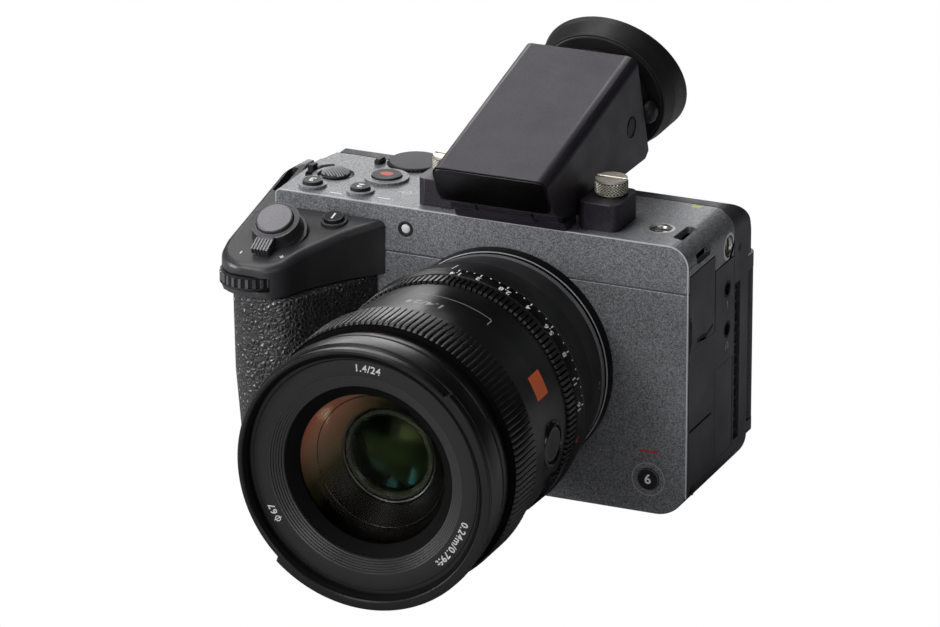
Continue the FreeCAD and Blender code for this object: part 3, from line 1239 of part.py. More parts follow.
finder_housing = piece("finder_housing")
length = d.finder_length
high = d.finder_top
low = -13.0
pad(finder_housing, "shell", "XZ",
    outline((-d.finder_half_bottom, low), (d.finder_half_bottom, low), (d.finder_half_top, high, 3.5),
    (-d.finder_half_top - d.finder_left_flare, high, 2.6)),
    "-70", "0")
cut(finder_housing, "underside", "YZ",
    outline((-71, -14), (0.5, -14), (0.5, -11.5), (0, -11.5), (-3, -12.6), (-54.9, 0.6), (-57.6, 2.4),
    (-61.8, 4.9), (-65.0, 7.8), (-71, 7.8)),
    "-30", "30")
cut(finder_housing, "front_slope", "YZ",
    outline((-71, 7.8), (-65.0, 7.8), (-length, high + 0.5), (-71, high + 0.5)), "-30", "30")
cut(finder_housing, "rear_slope", "YZ",
    outline((-0.4, high), (0, 18.7), (1, 18.7), (1, high + 1), (-0.4, high + 1)), "-30", "30")
hinge_local_y, hinge_local_z = -59.1, 4.7
for name, low_x, high_x in (("left_arm", -15.8, -8.2), ("right_arm", 8.6, 16.0)):
    pad(finder_housing, name, "YZ", circle(hinge_local_y, hinge_local_z, d.hinge_radius), str(low_x),
        str(high_x))
cut(finder_housing, "knuckle_room", "YZ",
    outline((-63.5, -2), (-54.0, -2), (-54.0, 9.6), (-63.5, 9.6)), "-8.1", "8.5")
cut(finder_housing, "pin_hole", "YZ", circle(hinge_local_y, hinge_local_z, d.hinge_pin + 0.07), "-15.4",
    "15.4")
collar_radius = 14.8
pad(finder_housing, "eyepiece_collar", "XZ", circle(0, 0, collar_radius), "-4", "7.6")
cut(finder_housing, "optics_room", "XZ", box_outline(-14.6, 1.5, 14.6, 16.6, 2), "-50", "-9")
cut(finder_housing, "eyepiece_bore", "XZ", circle(0, 0, d.eyepiece_radius + 0.06), "-14", "9")
side_button_y, side_button_z = -9.4, 1.6
knob_y, knob_z = 4.1, -1.5
cut(finder_housing, "button_seat", "YZ",
    circle(side_button_y, side_button_z, d.finder_button_radius + d.button_gap), "13.2", "18")
cut(finder_housing, "dial_seat", "YZ", circle(knob_y, knob_z, d.knob_shaft + 0.1), "12.6", "16")
place(finder_housing, str(centre_x + 0.1), "sizes.finder_eye_y", EYE_Z, (1, 0, 0), "sizes.finder_pitch")


def in_finder(body):
    """Places a body in the finder's own frame, along its optical axis."""
    place(body, str(centre_x + 0.1), "sizes.finder_eye_y", EYE_Z, (1, 0, 0), "sizes.finder_pitch")


eyepiece_lens = piece("eyepiece_lens")
turn(eyepiece_lens, "glass", "XY",
    outline((0, -1.5), (9.0, 0.6), (d.eyepiece_radius, 0.6), (d.eyepiece_radius, 5.0), (0, 5.6)))
in_finder(eyepiece_lens)

eyecup = piece("eyecup")
turn(eyecup, "bowl", "XY",
     outline((12.4, d.cup_start), (d.cup_flange_radius, d.cup_start, 1.2), (20.6, 13.0),
     (d.cup_rim_radius, 24.0), (19.8, 24.0),
             (17.4, 10.8), (12.4, 9.5)))
slant = math.tan(math.radians(d.cup_slant))
cut(eyecup, "slanted_rim", "YZ",
    outline((d.cup_rim_y + 26 * slant, -26), (30, -26), (30, 26), (d.cup_rim_y - 26 * slant, 26)), "-30",
    "30")
in_finder(eyecup)

diopter_knob = piece("diopter_knob")
pad(diopter_knob, "wheel", "YZ", ribbed_outline(d.diopter_radius, 0.3, 16), "15.1", "18.4")
pad(diopter_knob, "shaft", "YZ", circle(0, 0, d.knob_shaft), "12.9", "15.2")
knob_place = finder_housing.Placement.multVec(Vector(0, knob_y, knob_z))
place(diopter_knob, str(knob_place.x), str(knob_place.y), str(knob_place.z), (1, 0, 0), "sizes.finder_pitch")

finder_button = piece("finder_button")
pad(finder_button, "cap", "YZ", circle(0, 0, d.finder_button_radius), "13.9", "16.4")
finder_button_place = finder_housing.Placement.multVec(Vector(0, side_button_y, side_button_z))
place(finder_button, str(finder_button_place.x), str(finder_button_place.y), str(finder_button_place.z),
    (1, 0, 0), "sizes.finder_pitch")

for label, side in (("thumbscrew_left", -1), ("thumbscrew_right", 1)):
    screw = piece(label)
    pad(screw, "shank", "XY", circle(0, 0, d.screw_shank), "-13.5", "0.5")
    pad(screw, "collar", "XY", circle(0, 0, 3.4), "0.05", "0.6")
    pad(screw, "head", "XY", circle(0, 0, d.screw_head_radius), "0.5", "0.3+sizes.screw_head_height")
    cut(screw, "driver_slot", "XY", box_outline(-5, -0.55, 5, 0.55), "sizes.screw_head_height-0.9",
        "sizes.screw_head_height+2")
    place(screw, str(centre_x + side * d.screw_half_span), "-1", WING_TOP)

# Lens controls

focus_hold_button = piece("focus_hold_button")
hold_top = d.mid_barrel_radius + 0.3
pad(focus_hold_button, "cap", "XY", circle(0, 0, d.hold_button_radius), str(hold_floor + 1.1), str(hold_top))
round_edges(focus_hold_button, "cap_rim", 0.4, on_level(hold_top))
focus_hold_button.Placement = Placement(hold_centre, Rotation(Vector(0, 0, 1), radial(hold_angle)))

focus_switch = piece("focus_switch")
pad(focus_switch, "slider", "XY", box_outline(-6.1, -1.6, -0.6, 1.6, 0.6), str(switch_floor + 0.1),
    "sizes.mid_barrel_radius")
pad(focus_switch, "thumb", "XY", box_outline(-5.0, -0.6, -1.7, 0.6, 0.4), "sizes.mid_barrel_radius-0.1",
    "sizes.mid_barrel_radius+0.8")
focus_switch.Placement = Placement(switch_centre, Rotation(Vector(0, 0, 1), radial(switch_angle)))

# Checks of every object, then one file per sub-part

doc.recompute()
for item in doc.Objects:
    if "Invalid" in item.State or "Error" in item.State:
        raise RuntimeError("%s is in state %s" % (item.Name, item.State))
for node in nodes:
    shape = node.Shape
    if shape.isNull() or not shape.isValid() or not shape.Solids:
        raise RuntimeError("%s has no valid solid" % node.Label)
    shape.exportStep("parts/%s.step" % node.Label)
    print(node.Label, len(shape.Solids), round(shape.Volume, 1))
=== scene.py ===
import json
import math

import bmesh
import bpy
from bpy.props import FloatProperty, FloatVectorProperty, IntProperty, PointerProperty
from mathutils import Matrix, Vector


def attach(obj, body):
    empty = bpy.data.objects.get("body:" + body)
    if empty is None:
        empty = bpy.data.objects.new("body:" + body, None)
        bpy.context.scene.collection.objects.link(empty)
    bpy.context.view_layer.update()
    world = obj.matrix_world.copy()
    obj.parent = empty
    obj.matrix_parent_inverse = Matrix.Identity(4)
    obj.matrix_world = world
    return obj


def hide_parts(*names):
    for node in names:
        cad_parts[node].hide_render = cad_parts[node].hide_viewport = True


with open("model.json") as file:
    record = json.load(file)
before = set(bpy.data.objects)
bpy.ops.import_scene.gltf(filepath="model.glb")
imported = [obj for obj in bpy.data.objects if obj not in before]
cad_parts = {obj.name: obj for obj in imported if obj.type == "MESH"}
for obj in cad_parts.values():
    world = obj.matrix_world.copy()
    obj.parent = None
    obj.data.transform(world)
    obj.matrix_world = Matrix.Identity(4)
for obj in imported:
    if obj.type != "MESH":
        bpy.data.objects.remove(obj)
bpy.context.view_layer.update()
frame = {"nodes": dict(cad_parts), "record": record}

bl_info = {
    "name": "Cinema camera",
    "version": (1, 0, 0),
    "blender": (4, 5, 0),
    "location": "View3D > Sidebar > Camera",
    "description": "Dresses the solids of a compact cinema camera with its finishes and fine parts",
    "category": "Object",
}

# Lengths below are in millimetres, and MM turns them into metres
MM = 0.001
ROOT = "camera_body"
AXIS_Z = 39.4
TOP_Z = 79.0
FRONT_Y = -14.0
SIDE_X = 54.0
LEFT_X = -69.4
DECK_TILT = math.radians(12.0)
SHUTTER_TILT = math.radians(27.0)
FINDER_PITCH = math.radians(13.8)
APERTURE_REAR = 43.0
BOWL_RADIUS = 21.2
NAME_RING_MIDDLE = 30.15
NAME_RING_FACE = 107.8

# Camera of the photograph: width and focal length in pixels, place in millimetres, angles in degrees
PHOTO_WIDTH = 940
PHOTO_FOCAL = 6614.39
PHOTO_PLACE = Vector((670.633, -1574.582, 699.907))
PHOTO_AZIMUTH = 23.58063
PHOTO_ELEVATION = 20.87022
PHOTO_ROLL = -0.09123
SENSOR_WIDTH = 36.0

# Soft lights: name, place and size in metres, power in watts
SOFT_LIGHTS = (
    ("back_softbox", (-0.62, 1.30, 0.62), (0.9, 0.5), 5.6),
    ("overhead_softbox", (-0.45, -0.30, 1.20), (0.7, 0.7), 6.5),
    ("rear_overhead", (-0.35, 0.45, 1.20), (0.7, 0.7), 4.5),
    ("left_softbox", (-1.25, -0.75, 0.30), (0.55, 0.5), 12.0),
    ("key_softbox", (-0.55, -1.35, 0.95), (0.48, 0.42), 8.2),
    ("low_front", (0.15, -1.45, 0.25), (0.7, 0.35), 2.8),
    ("right_fill", (0.95, -1.10, 0.75), (0.6, 0.6), 2.2),
)
LIGHTS_AIM = Vector((0, -0.03, 0.05))


def seat(x, y, z, turn=None):
    """Place of a part in millimetres, with its turn."""
    place = Matrix.Translation(Vector((x, y, z)) * MM)
    return place @ turn if turn else place


# Local frame of the lens: Z runs forward along the lens axis, Y is up, and z = 0 lies at the image plane
LENS = Matrix(((1, 0, 0, 0), (0, 0, -1, 0), (0, 1, 0, AXIS_Z * MM), (0, 0, 0, 1)))

# Turns for parts on the front, the side, the rear and the sloping deck, and for figures read from behind
ON_FRONT = Matrix(((1, 0, 0, 0), (0, 0, -1, 0), (0, 1, 0, 0), (0, 0, 0, 1)))
ON_SIDE = Matrix(((0, 0, 1, 0), (1, 0, 0, 0), (0, 1, 0, 0), (0, 0, 0, 1)))
ON_REAR = Matrix(((-1, 0, 0, 0), (0, 0, 1, 0), (0, 1, 0, 0), (0, 0, 0, 1)))
ON_DECK = Matrix.Rotation(DECK_TILT, 4, "X")
ON_SHUTTER = Matrix.Rotation(SHUTTER_TILT, 4, "X")
FROM_BEHIND = Matrix.Rotation(math.pi, 4, "Z")

# Places of the controls
FINDER = seat(1.9, 41.5, 94.7, Matrix.Rotation(FINDER_PITCH, 4, "X"))
DECK_BUTTON = seat(-49.5, -18.2, 73.51, ON_DECK)
INNER_BUTTON = seat(-46.5, -7.3, TOP_Z)
OUTER_BUTTON = seat(-60.8, -7.9, TOP_Z)
RECORD_BUTTON = seat(-44.2, 5.4, TOP_Z)
FRONT_BUTTON = seat(43.0, FRONT_Y, 10.3, ON_FRONT)
SELECTOR = seat(-58.8, 3.2, TOP_Z)
SHUTTER = seat(-61.9, -27.9, 71.445, ON_SHUTTER)
DIOPTER_KNOB = FINDER @ seat(0, 4.1, -1.5, ON_SIDE)
FINDER_BUTTON = FINDER @ seat(0, -9.4, 1.6, ON_SIDE)
ON_DOOR = seat(SIDE_X, 0, 0, ON_SIDE)


class CameraSizes(bpy.types.PropertyGroup):
    """Sizes and colours of the fine parts that a user may change."""

    focus_ribs: IntProperty(
        name="Focus ribs", description="Ribs around the rings of the lens", default=135, min=12)
    edge_round: FloatProperty(
        name="Edge rounding", description="Rounding of the housing's edges", default=0.45 * MM, unit="LENGTH")
    pebble_size: FloatProperty(
        name="Pebble size", description="Size of the grain on the hand grip", unit="LENGTH",
        default=1.35 * MM)
    speckle_size: FloatProperty(
        name="Speckle size", description="Size of the flakes in the paint", default=0.32 * MM, unit="LENGTH")
    knurl_count: IntProperty(
        name="Knurl count", description="Knurl points around a thumbscrew", default=28, min=8)
    housing_colour: FloatVectorProperty(
        name="Housing colour", description="Paint of the front and top covers", subtype="COLOR", size=3,
        default=(0.165, 0.167, 0.177))
    panel_colour: FloatVectorProperty(
        name="Panel colour", description="Moulded side panels and rear cover", subtype="COLOR", size=3,
        default=(0.028, 0.0285, 0.031))
    lens_colour: FloatVectorProperty(
        name="Lens colour", description="Finish of the lens barrel", subtype="COLOR", size=3,
        default=(0.0085, 0.0085, 0.009))


# Materials

MATERIALS = {}


def new_shader(name, colour, roughness, metallic=0.0, **sockets):
    """Material with one Principled shader; uniform values stay on its own sockets."""
    material = bpy.data.materials.new(name)
    material.use_nodes = True
    shader = material.node_tree.nodes["Principled BSDF"]
    shader.inputs["Base Color"].default_value = (*colour, 1)
    shader.inputs["Roughness"].default_value = roughness
    shader.inputs["Metallic"].default_value = metallic
    for socket, value in sockets.items():
        shader.inputs[socket.replace("_", " ")].default_value = value
    material.diffuse_color = (*colour, 1)
    return material


class Finish:
    """Adds procedural detail, in object coordinates, to a material's shader."""

    def __init__(self, material):
        self.tree = material.node_tree
        self.shader = self.tree.nodes["Principled BSDF"]
        self.coordinates = self.tree.nodes.new("ShaderNodeTexCoord").outputs["Object"]
        self.height = None

    def node(self, kind, **values):
        """Adds a node and sets its properties and sockets by name."""
        made = self.tree.nodes.new(kind)
        for key, value in values.items():
            if hasattr(made, key):
                setattr(made, key, value)
            else:
                made.inputs[key.replace("_", " ")].default_value = value
        return made

    def link(self, output, socket):
        """Joins two sockets."""
        self.tree.links.new(output, socket)

    def noise(self, size, detail=2.0, roughness=0.5):
        """Noise whose features are about the given size in metres."""
        made = self.node("ShaderNodeTexNoise", Scale=1.0 / size, Detail=detail, Roughness=roughness)
        self.link(self.coordinates, made.inputs["Vector"])
        return made.outputs["Fac"]

    def cells(self, size, output="Distance"):
        """Cell pattern whose cells are about the given size in metres."""
        made = self.node("ShaderNodeTexVoronoi", Scale=1.0 / size)
        self.link(self.coordinates, made.inputs["Vector"])
        return made.outputs[output]

    def place(self, axis):
        """Object coordinate along one axis."""
        split = self.node("ShaderNodeSeparateXYZ")
        self.link(self.coordinates, split.inputs["Vector"])
        return split.outputs[axis]

    def spread(self, pattern, low, high, low_value, high_value):
        """Maps a range of a pattern to a range of values."""
        made = self.node("ShaderNodeMapRange")
        sockets = ("From Min", "From Max", "To Min", "To Max")
        for socket, value in zip(sockets, (low, high, low_value, high_value)):
            made.inputs[socket].default_value = value
        self.link(pattern, made.inputs["Value"])
        return made.outputs["Result"]

    def tint(self, pattern, low, high, dark, light):
        """Colours the surface from dark to light along a pattern."""
        self.graded_colour(pattern, (low, dark), (high, light))

    def graded_colour(self, pattern, first, last, *between):
        """Colours the surface along a pattern, from stops of place and colour."""
        ramp = self.node("ShaderNodeValToRGB")
        stops = ramp.color_ramp.elements
        for stop, (place, colour) in zip(stops, (first, last)):
            stop.position = place
            stop.color = (*colour, 1)
        for place, colour in between:
            stops.new(place).color = (*colour, 1)
        self.link(pattern, ramp.inputs["Fac"])
        self.link(ramp.outputs["Color"], self.shader.inputs["Base Color"])

    def gloss(self, pattern, low_value, high_value, low=0.3, high=0.7):
        """Varies the roughness along a range of a pattern."""
        rough = self.spread(pattern, low, high, low_value, high_value)
        self.link(rough, self.shader.inputs["Roughness"])

    def relief(self, pattern, depth, strength=1.0):
        """Raises the surface along a pattern; several reliefs add up."""
        bump = self.node("ShaderNodeBump", Strength=strength, Distance=depth)
        self.link(pattern, bump.inputs["Height"])
        if self.height:
            self.link(self.height, bump.inputs["Normal"])
        self.height = bump.outputs["Normal"]
        self.link(self.height, self.shader.inputs["Normal"])


def shade(colour, factor):
    """A colour made lighter or darker."""
    return tuple(min(1.0, channel * factor) for channel in colour)


def finish(name, colour, roughness, metallic=0.0, level=0.5, **sockets):
    """New finish of the object, kept under its name."""
    MATERIALS[name] = new_shader(name, colour, roughness, metallic, Specular_IOR_Level=level, **sockets)
    return Finish(MATERIALS[name])


def patchy_gloss(name, colour, roughness, size, smoothest, roughest, metallic=0.0, level=0.5, **sockets):
    """Finish in one colour whose roughness varies a little over patches of the given size."""
    made = finish(name, colour, roughness, metallic, level, **sockets)
    made.gloss(made.noise(size), smoothest, roughest)


def housing_paint(sizes):
    """Metallic speckled paint of the covers."""
    colour = tuple(sizes.housing_colour)
    paint = finish("flake_paint", colour, 0.42, 0.3, Coat_Weight=0.06, Coat_Roughness=0.35)
    flakes = paint.cells(sizes.speckle_size, "Color")
    grain = paint.noise(sizes.speckle_size * 1.3, roughness=0.6)
    mixed = paint.node("ShaderNodeMath", operation="ADD")
    paint.link(flakes, mixed.inputs[0])
    paint.link(grain, mixed.inputs[1])
    speckle = paint.spread(mixed.outputs[0], 0.45, 1.55, 0.0, 1.0)
    paint.tint(speckle, 0.0, 1.0, shade(colour, 0.32), shade(colour, 1.95))
    paint.gloss(grain, 0.38, 0.5)
    paint.relief(mixed.outputs[0], 0.05 * MM, 0.6)


def moulded_plastics(sizes):
    """Fine-grained plastic of the side panels and of the finder."""
    for name, colour, rough, size in (
            ("panel_plastic", tuple(sizes.panel_colour), 0.5, 0.30),
            ("finder_plastic", (0.0140, 0.0118, 0.0155), 0.43, 0.42),
            ("finder_front", (0.0015, 0.0015, 0.0015), 0.22, 0.30)):
        panel = finish(name, colour, rough, level=0.42, Specular_Tint=(1.0, 0.95, 1.04, 1))
        grain = panel.noise(size * MM, 3.0, 0.65)
        panel.tint(grain, 0.36, 0.66, shade(colour, 0.45), shade(colour, 2.1))
        panel.gloss(panel.noise(12 * MM), rough - 0.05, rough + 0.07)
        panel.relief(grain, 0.04 * MM, 0.8)


def edge_lines(sizes):
    """Lighter finishes that paint the highlights of rounded edges, of the selector's studs and of the
    aperture ring's edge, and the metal finishes of the dials.
    """
    # Painted highlights: lighter colours for rounded edges and for the selector's studs
    for name, colour in (
            ("stud_highlight", (0.40, 0.40, 0.41)), ("paint_edge_highlight", shade(tuple(sizes.housing_colour), 2.8)),
            ("panel_edge_highlight", (0.085, 0.083, 0.09)), ("lit_edge", (0.42, 0.42, 0.43))):
        patchy_gloss(name, colour, 0.38, 0.4 * MM, 0.34, 0.46, level=0.6)
    # The first of these paints the highlight of the aperture ring's rear edge; the others are the dials'
    # metal
    for name, colour, rough in (
            ("satin_edge_highlight", (0.26, 0.26, 0.265), 0.28), ("dial_metal", (0.16, 0.16, 0.165), 0.24),
            ("dial_plate", (0.085, 0.082, 0.089), 0.6)):
        patchy_gloss(name, colour, rough, 0.5 * MM, rough - 0.04, rough + 0.06, 0.85)


def grip_leather(sizes):
    """Pebbled leather: rounded cells with bent creases between them, and painted shade in the creases."""
    leather = finish("grip_leather", (0.007, 0.007, 0.0075), 0.3, level=0.95)
    shift = leather.node("ShaderNodeTexNoise", Scale=900.0, Detail=2.0)
    leather.link(leather.coordinates, shift.inputs["Vector"])
    bend = leather.node("ShaderNodeVectorMath", operation="SCALE", Scale=0.2 * MM)
    leather.link(shift.outputs["Color"], bend.inputs[0])
    bent = leather.node("ShaderNodeVectorMath", operation="ADD")
    leather.link(leather.coordinates, bent.inputs[0])
    leather.link(bend.outputs[0], bent.inputs[1])
    pebbles = leather.node("ShaderNodeTexVoronoi", feature="DISTANCE_TO_EDGE", Scale=1.0 / sizes.pebble_size)
    leather.link(bent.outputs[0], pebbles.inputs["Vector"])
    crease = pebbles.outputs["Distance"]
    # Painted shade: the creases are coloured darker than the pebble tops
    leather.tint(crease, 0.02, 0.25, (0.0012, 0.0012, 0.0012), (0.010, 0.010, 0.011))
    leather.gloss(crease, 0.7, 0.30, 0.0, 0.25)
    leather.relief(leather.spread(crease, 0.0, 0.48, 0.0, 1.0), 0.5 * MM)
    leather.relief(leather.noise(4.5 * MM), 0.5 * MM, 0.3)


def control_finishes():
    """Satin deck, black controls and the brushed shutter button."""
    deck = finish("deck_satin", (0.017, 0.0165, 0.018), 0.36)
    grain = deck.noise(0.18 * MM)
    deck.tint(grain, 0.3, 0.75, (0.019, 0.0185, 0.020), (0.046, 0.045, 0.049))
    deck.gloss(deck.noise(8 * MM), 0.32, 0.42)
    deck.relief(grain, 0.018 * MM, 0.5)
    for name, colour, rough, level in (
            ("control_black", (0.011, 0.011, 0.012), 0.5, 0.3),
            ("control_rim_highlight", (0.10, 0.10, 0.104), 0.3, 0.6),
            ("gloss_black", (0.006, 0.006, 0.0065), 0.16, 0.6)):
        control = finish(name, colour, rough, level=level)
        grain = control.noise(0.4 * MM)
        control.tint(grain, 0.3, 0.7, shade(colour, 0.8), shade(colour, 1.25))
        control.gloss(grain, rough - 0.04, rough + 0.06)
    shutter = finish("shutter_metal", (0.16, 0.155, 0.165), 0.40, 0.8)
    spin = shutter.noise(0.3 * MM, 1.0)
    shutter.tint(spin, 0.3, 0.7, (0.13, 0.125, 0.135), (0.19, 0.185, 0.195))
    shutter.gloss(spin, 0.38, 0.46)


def lens_blacks(sizes):
    """Anodised blacks and greys of the lens, from its own colour."""
    for name, factor, rough, level in (
            ("lens_satin", 0.30, 0.34, 0.40), ("rib_black", 0.5, 0.30, 0.42), ("deep_black", 0.2, 0.4, 0.16),
            ("inner_black", 0.1, 0.8, 0.1), ("plate_grey", 1.3, 0.5, 0.3), ("ridge_satin", 1.6, 0.32, 0.5)):
        colour = shade(tuple(sizes.lens_colour), factor)
        lens = finish(name, colour, rough, level=level)
        grain = lens.noise(0.22 * MM)
        lens.tint(grain, 0.3, 0.75, shade(colour, 0.7), shade(colour, 1.5))
        lens.gloss(lens.noise(10 * MM), rough - 0.04, rough + 0.05)
        lens.relief(grain, 0.012 * MM, 0.4)
        if name == "lens_satin":
            # The neck behind the aperture ring is duller than the barrel in front of it
            neck_level = 0.13
            start = -APERTURE_REAR * MM
            dulled = lens.spread(lens.place("Y"), start - MM, start, level, neck_level)
            lens.link(dulled, lens.shader.inputs["Specular IOR Level"])


def metals():
    """Bare steel, nickel and brushed metal."""
    for name, colour, rough, metallic in (
            ("bare_steel", (0.50, 0.50, 0.48), 0.30, 1.0), ("nickel", (0.62, 0.58, 0.50), 0.36, 0.75),
            ("brushed_metal", (0.45, 0.45, 0.46), 0.33, 1.0)):
        metal = finish(name, colour, rough, metallic)
        brushed = metal.noise(0.35 * MM, 3.0)
        metal.tint(brushed, 0.25, 0.75, shade(colour, 0.82), shade(colour, 1.12))
        metal.gloss(brushed, rough - 0.06, rough + 0.1)


def soft_rubber():
    """Rubber of the eyecup."""
    rubber = finish("soft_rubber", (0.0105, 0.0105, 0.0115), 0.5, level=0.4)
    grain = rubber.noise(0.4 * MM, 3.0)
    rubber.tint(grain, 0.3, 0.7, (0.008, 0.008, 0.0085), (0.014, 0.014, 0.015))
    rubber.gloss(rubber.noise(6 * MM), 0.42, 0.56)
    rubber.relief(grain, 0.025 * MM, 0.5)


def printed_marks():
    """Inks of the marks and figures."""
    for name, colour in (
            ("white_mark", (0.85, 0.85, 0.85)), ("red_mark", (0.55, 0.03, 0.02)),
            ("orange_badge", (0.86, 0.16, 0.045)), ("lime_mark", (0.42, 0.55, 0.05)),
            ("grey_mark", (0.38, 0.38, 0.38)), ("plate_mark", (0.55, 0.55, 0.56))):
        mark = finish(name, colour, 0.5)
        mark.tint(mark.noise(0.3 * MM), 0.25, 0.75, shade(colour, 0.9), shade(colour, 1.06))


def coated_glass(name, tint, facing, grazing, roughness):
    """Clear glass seen through without bending, with a tinted reflection that grows towards the rim."""
    material = new_shader(name, tint, roughness, 1.0)
    tree = material.node_tree
    clear = tree.nodes.new("ShaderNodeBsdfTransparent")
    angle = tree.nodes.new("ShaderNodeLayerWeight")
    angle.inputs["Blend"].default_value = 0.3
    share = tree.nodes.new("ShaderNodeMapRange")
    share.inputs["To Min"].default_value = facing
    share.inputs["To Max"].default_value = grazing
    tree.links.new(angle.outputs["Facing"], share.inputs["Value"])
    reflection = tree.nodes["Principled BSDF"].outputs["BSDF"]
    blend(tree, share.outputs["Result"], clear.outputs["BSDF"], reflection, "Material Output")
    MATERIALS[name] = material


def blend(tree, share, first, second, output):
    """Mixes two shaders by a share and sends them to the tree's output."""
    mix = tree.nodes.new("ShaderNodeMixShader")
    tree.links.new(share, mix.inputs["Fac"])
    tree.links.new(first, mix.inputs[1])
    tree.links.new(second, mix.inputs[2])
    tree.links.new(mix.outputs["Shader"], tree.nodes[output].inputs["Surface"])


def bowl_painted_reflection():
    """Rear face of the front element: dark glass with a painted warm reflection that brightens towards the
    upper left of the lens.
    """
    bowl = finish("bowl_painted_reflection", (0.001, 0.001, 0.001), 0.34, level=0.1)
    left, up = 0.80 / (BOWL_RADIUS * MM), 0.60 / (BOWL_RADIUS * MM)
    across = bowl.node("ShaderNodeMath", operation="MULTIPLY_ADD")
    bowl.link(bowl.place("X"), across.inputs[0])
    across.inputs[1].default_value = -left
    across.inputs[2].default_value = -up * AXIS_Z * MM
    toward = bowl.node("ShaderNodeMath", operation="MULTIPLY_ADD")
    bowl.link(bowl.place("Z"), toward.inputs[0])
    toward.inputs[1].default_value = up
    bowl.link(across.outputs[0], toward.inputs[2])
    # Painted reflection: colour stops from black to amber towards the upper left of the lens
    bowl.graded_colour(toward.outputs[0], (0.18, (0.0, 0.0, 0.0)), (1.0, (0.44, 0.14, 0.085)),
              (0.45, (0.020, 0.018, 0.007)), (0.66, (0.12, 0.075, 0.040)), (0.82, (0.27, 0.13, 0.080)))


def small_finishes():
    """Ground glass edges, the monitor, the lamp, the boards and the dark inside."""
    patchy_gloss("ground_rim", (0.011, 0.014, 0.006), 0.3, 0.8 * MM, 0.2, 0.3, level=0.25)
    patchy_gloss("screen_black", (0.004, 0.004, 0.005), 0.06, 20 * MM, 0.05, 0.09, Coat_Weight=0.3)
    patchy_gloss("lamp_white", (0.78, 0.78, 0.76), 0.3, 0.6 * MM, 0.25, 0.35, Subsurface_Weight=0.2)
    patchy_gloss("dark_inner", (0.004, 0.004, 0.004), 0.6, 1 * MM, 0.5, 0.7, level=0.2)
    board = finish("circuit_green", (0.01, 0.05, 0.022), 0.4)
    board.tint(board.cells(1.6 * MM), 0.2, 0.8, (0.008, 0.04, 0.018), (0.02, 0.09, 0.04))


def glasses():
    """Coated faces of the lens groups and of the eyepiece."""
    coated_glass("front_glass", (0.8, 0.75, 0.5), 0.001, 0.03, 0.03)
    coated_glass("group_glass", (0.55, 0.85, 0.25), 0.004, 0.06, 0.10)
    coated_glass("group_glass_blue", (0.12, 0.5, 0.5), 0.003, 0.05, 0.14)
    coated_glass("group_glass_lime", (0.45, 0.9, 0.12), 0.008, 0.06, 0.14)
    coated_glass("eyepiece_glass", (0.5, 0.6, 0.9), 0.08, 0.7, 0.02)
    bowl_painted_reflection()


def dress(piece, *names):
    """Gives a piece its materials, in slot order."""
    piece.data.materials.clear()
    for name in names:
        piece.data.materials.append(MATERIALS[name])


# Shapes

def keep(mesh, name):
    """Puts a mesh into the scene as an object at the origin."""
    piece = bpy.data.objects.new(name, mesh)
    bpy.context.scene.collection.objects.link(piece)
    return piece


def smooth(piece, degrees=32):
    """Smooth shading with edges sharp past an angle."""
    piece.data.shade_smooth()
    piece.data.set_sharp_from_angle(angle=math.radians(degrees))


def applied(piece):
    """Turns an object's modifiers into plain mesh."""
    depsgraph = bpy.context.evaluated_depsgraph_get()
    mesh = bpy.data.meshes.new_from_object(piece.evaluated_get(depsgraph))
    piece.modifiers.clear()
    old = piece.data
    piece.data = mesh
    bpy.data.meshes.remove(old)


def moved(piece, place):
    """Carries a piece's mesh to its place."""
    piece.data.transform(place)
    return piece


def settle(piece, body, material_slot=None, *nodes):
    """Makes a piece ride on a body and stand for CAD nodes."""
    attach(piece, body)
    if nodes:
        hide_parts(*nodes)


def body_of(node):
    """Name of the body that carries a CAD node."""
    for name, members in frame["record"]["behaviour"]["bodies"].items():
        if node in members:
            return name
    raise ValueError("no body for " + node)


def plain(shape, name, material, place=None, degrees=32):
    """Piece made of a bmesh, in one finish, with its faces outward."""
    bmesh.ops.recalc_face_normals(shape, faces=shape.faces)
    mesh = bpy.data.meshes.new(name)
    shape.to_mesh(mesh)
    shape.free()
    if place:
        mesh.transform(place)
    piece = keep(mesh, name)
    smooth(piece, degrees)
    dress(piece, material)
    return piece


def joined(name, *pieces, place=None):
    """One piece made of several, each with its own finish."""
    shape = bmesh.new()
    finishes = []
    for piece in pieces:
        done = len(shape.faces)
        shape.from_mesh(piece.data)
        shape.faces.ensure_lookup_table()
        for face in shape.faces[done:]:
            face.material_index += len(finishes)
        finishes += list(piece.data.materials)
        bpy.data.objects.remove(piece)
    mesh = bpy.data.meshes.new(name)
    shape.to_mesh(mesh)
    shape.free()
    if place:
        mesh.transform(place)
    for material in finishes:
        mesh.materials.append(material)
    return keep(mesh, name)


def around(radius, degrees, height):
    """Point at a radius, an angle and a height about local Z, in metres from millimetres."""
    angle = math.radians(degrees)
    return Vector((radius * math.cos(angle), radius * math.sin(angle), height)) * MM


def turned(radius, degrees):
    """Point in (x, y) at a radius and an angle."""
    angle = math.radians(degrees)
    return radius * math.cos(angle), radius * math.sin(angle)


def box_points(width, height, x=0.0, y=0.0):
    """Corners of a rectangle about a centre."""
    return ((x - width / 2, y - height / 2), (x + width / 2, y - height / 2),
            (x + width / 2, y + height / 2), (x - width / 2, y + height / 2))


def disc_points(radius, stretch=1.0, count=20):
    """Corners of a disc or oval."""
    return [(x, stretch * y) for x, y in (turned(radius, 360 * i / count) for i in range(count))]


def ring_points(outer, inner, count):
    """Outlines of a flat ring, one for each short stretch of it."""
    outlines = []
    for i in range(count):
        start, end = 360 * i / count, 360 * (i + 1) / count
        outlines.append((turned(outer, start), turned(outer, end), turned(inner, end), turned(inner, start)))
    return outlines


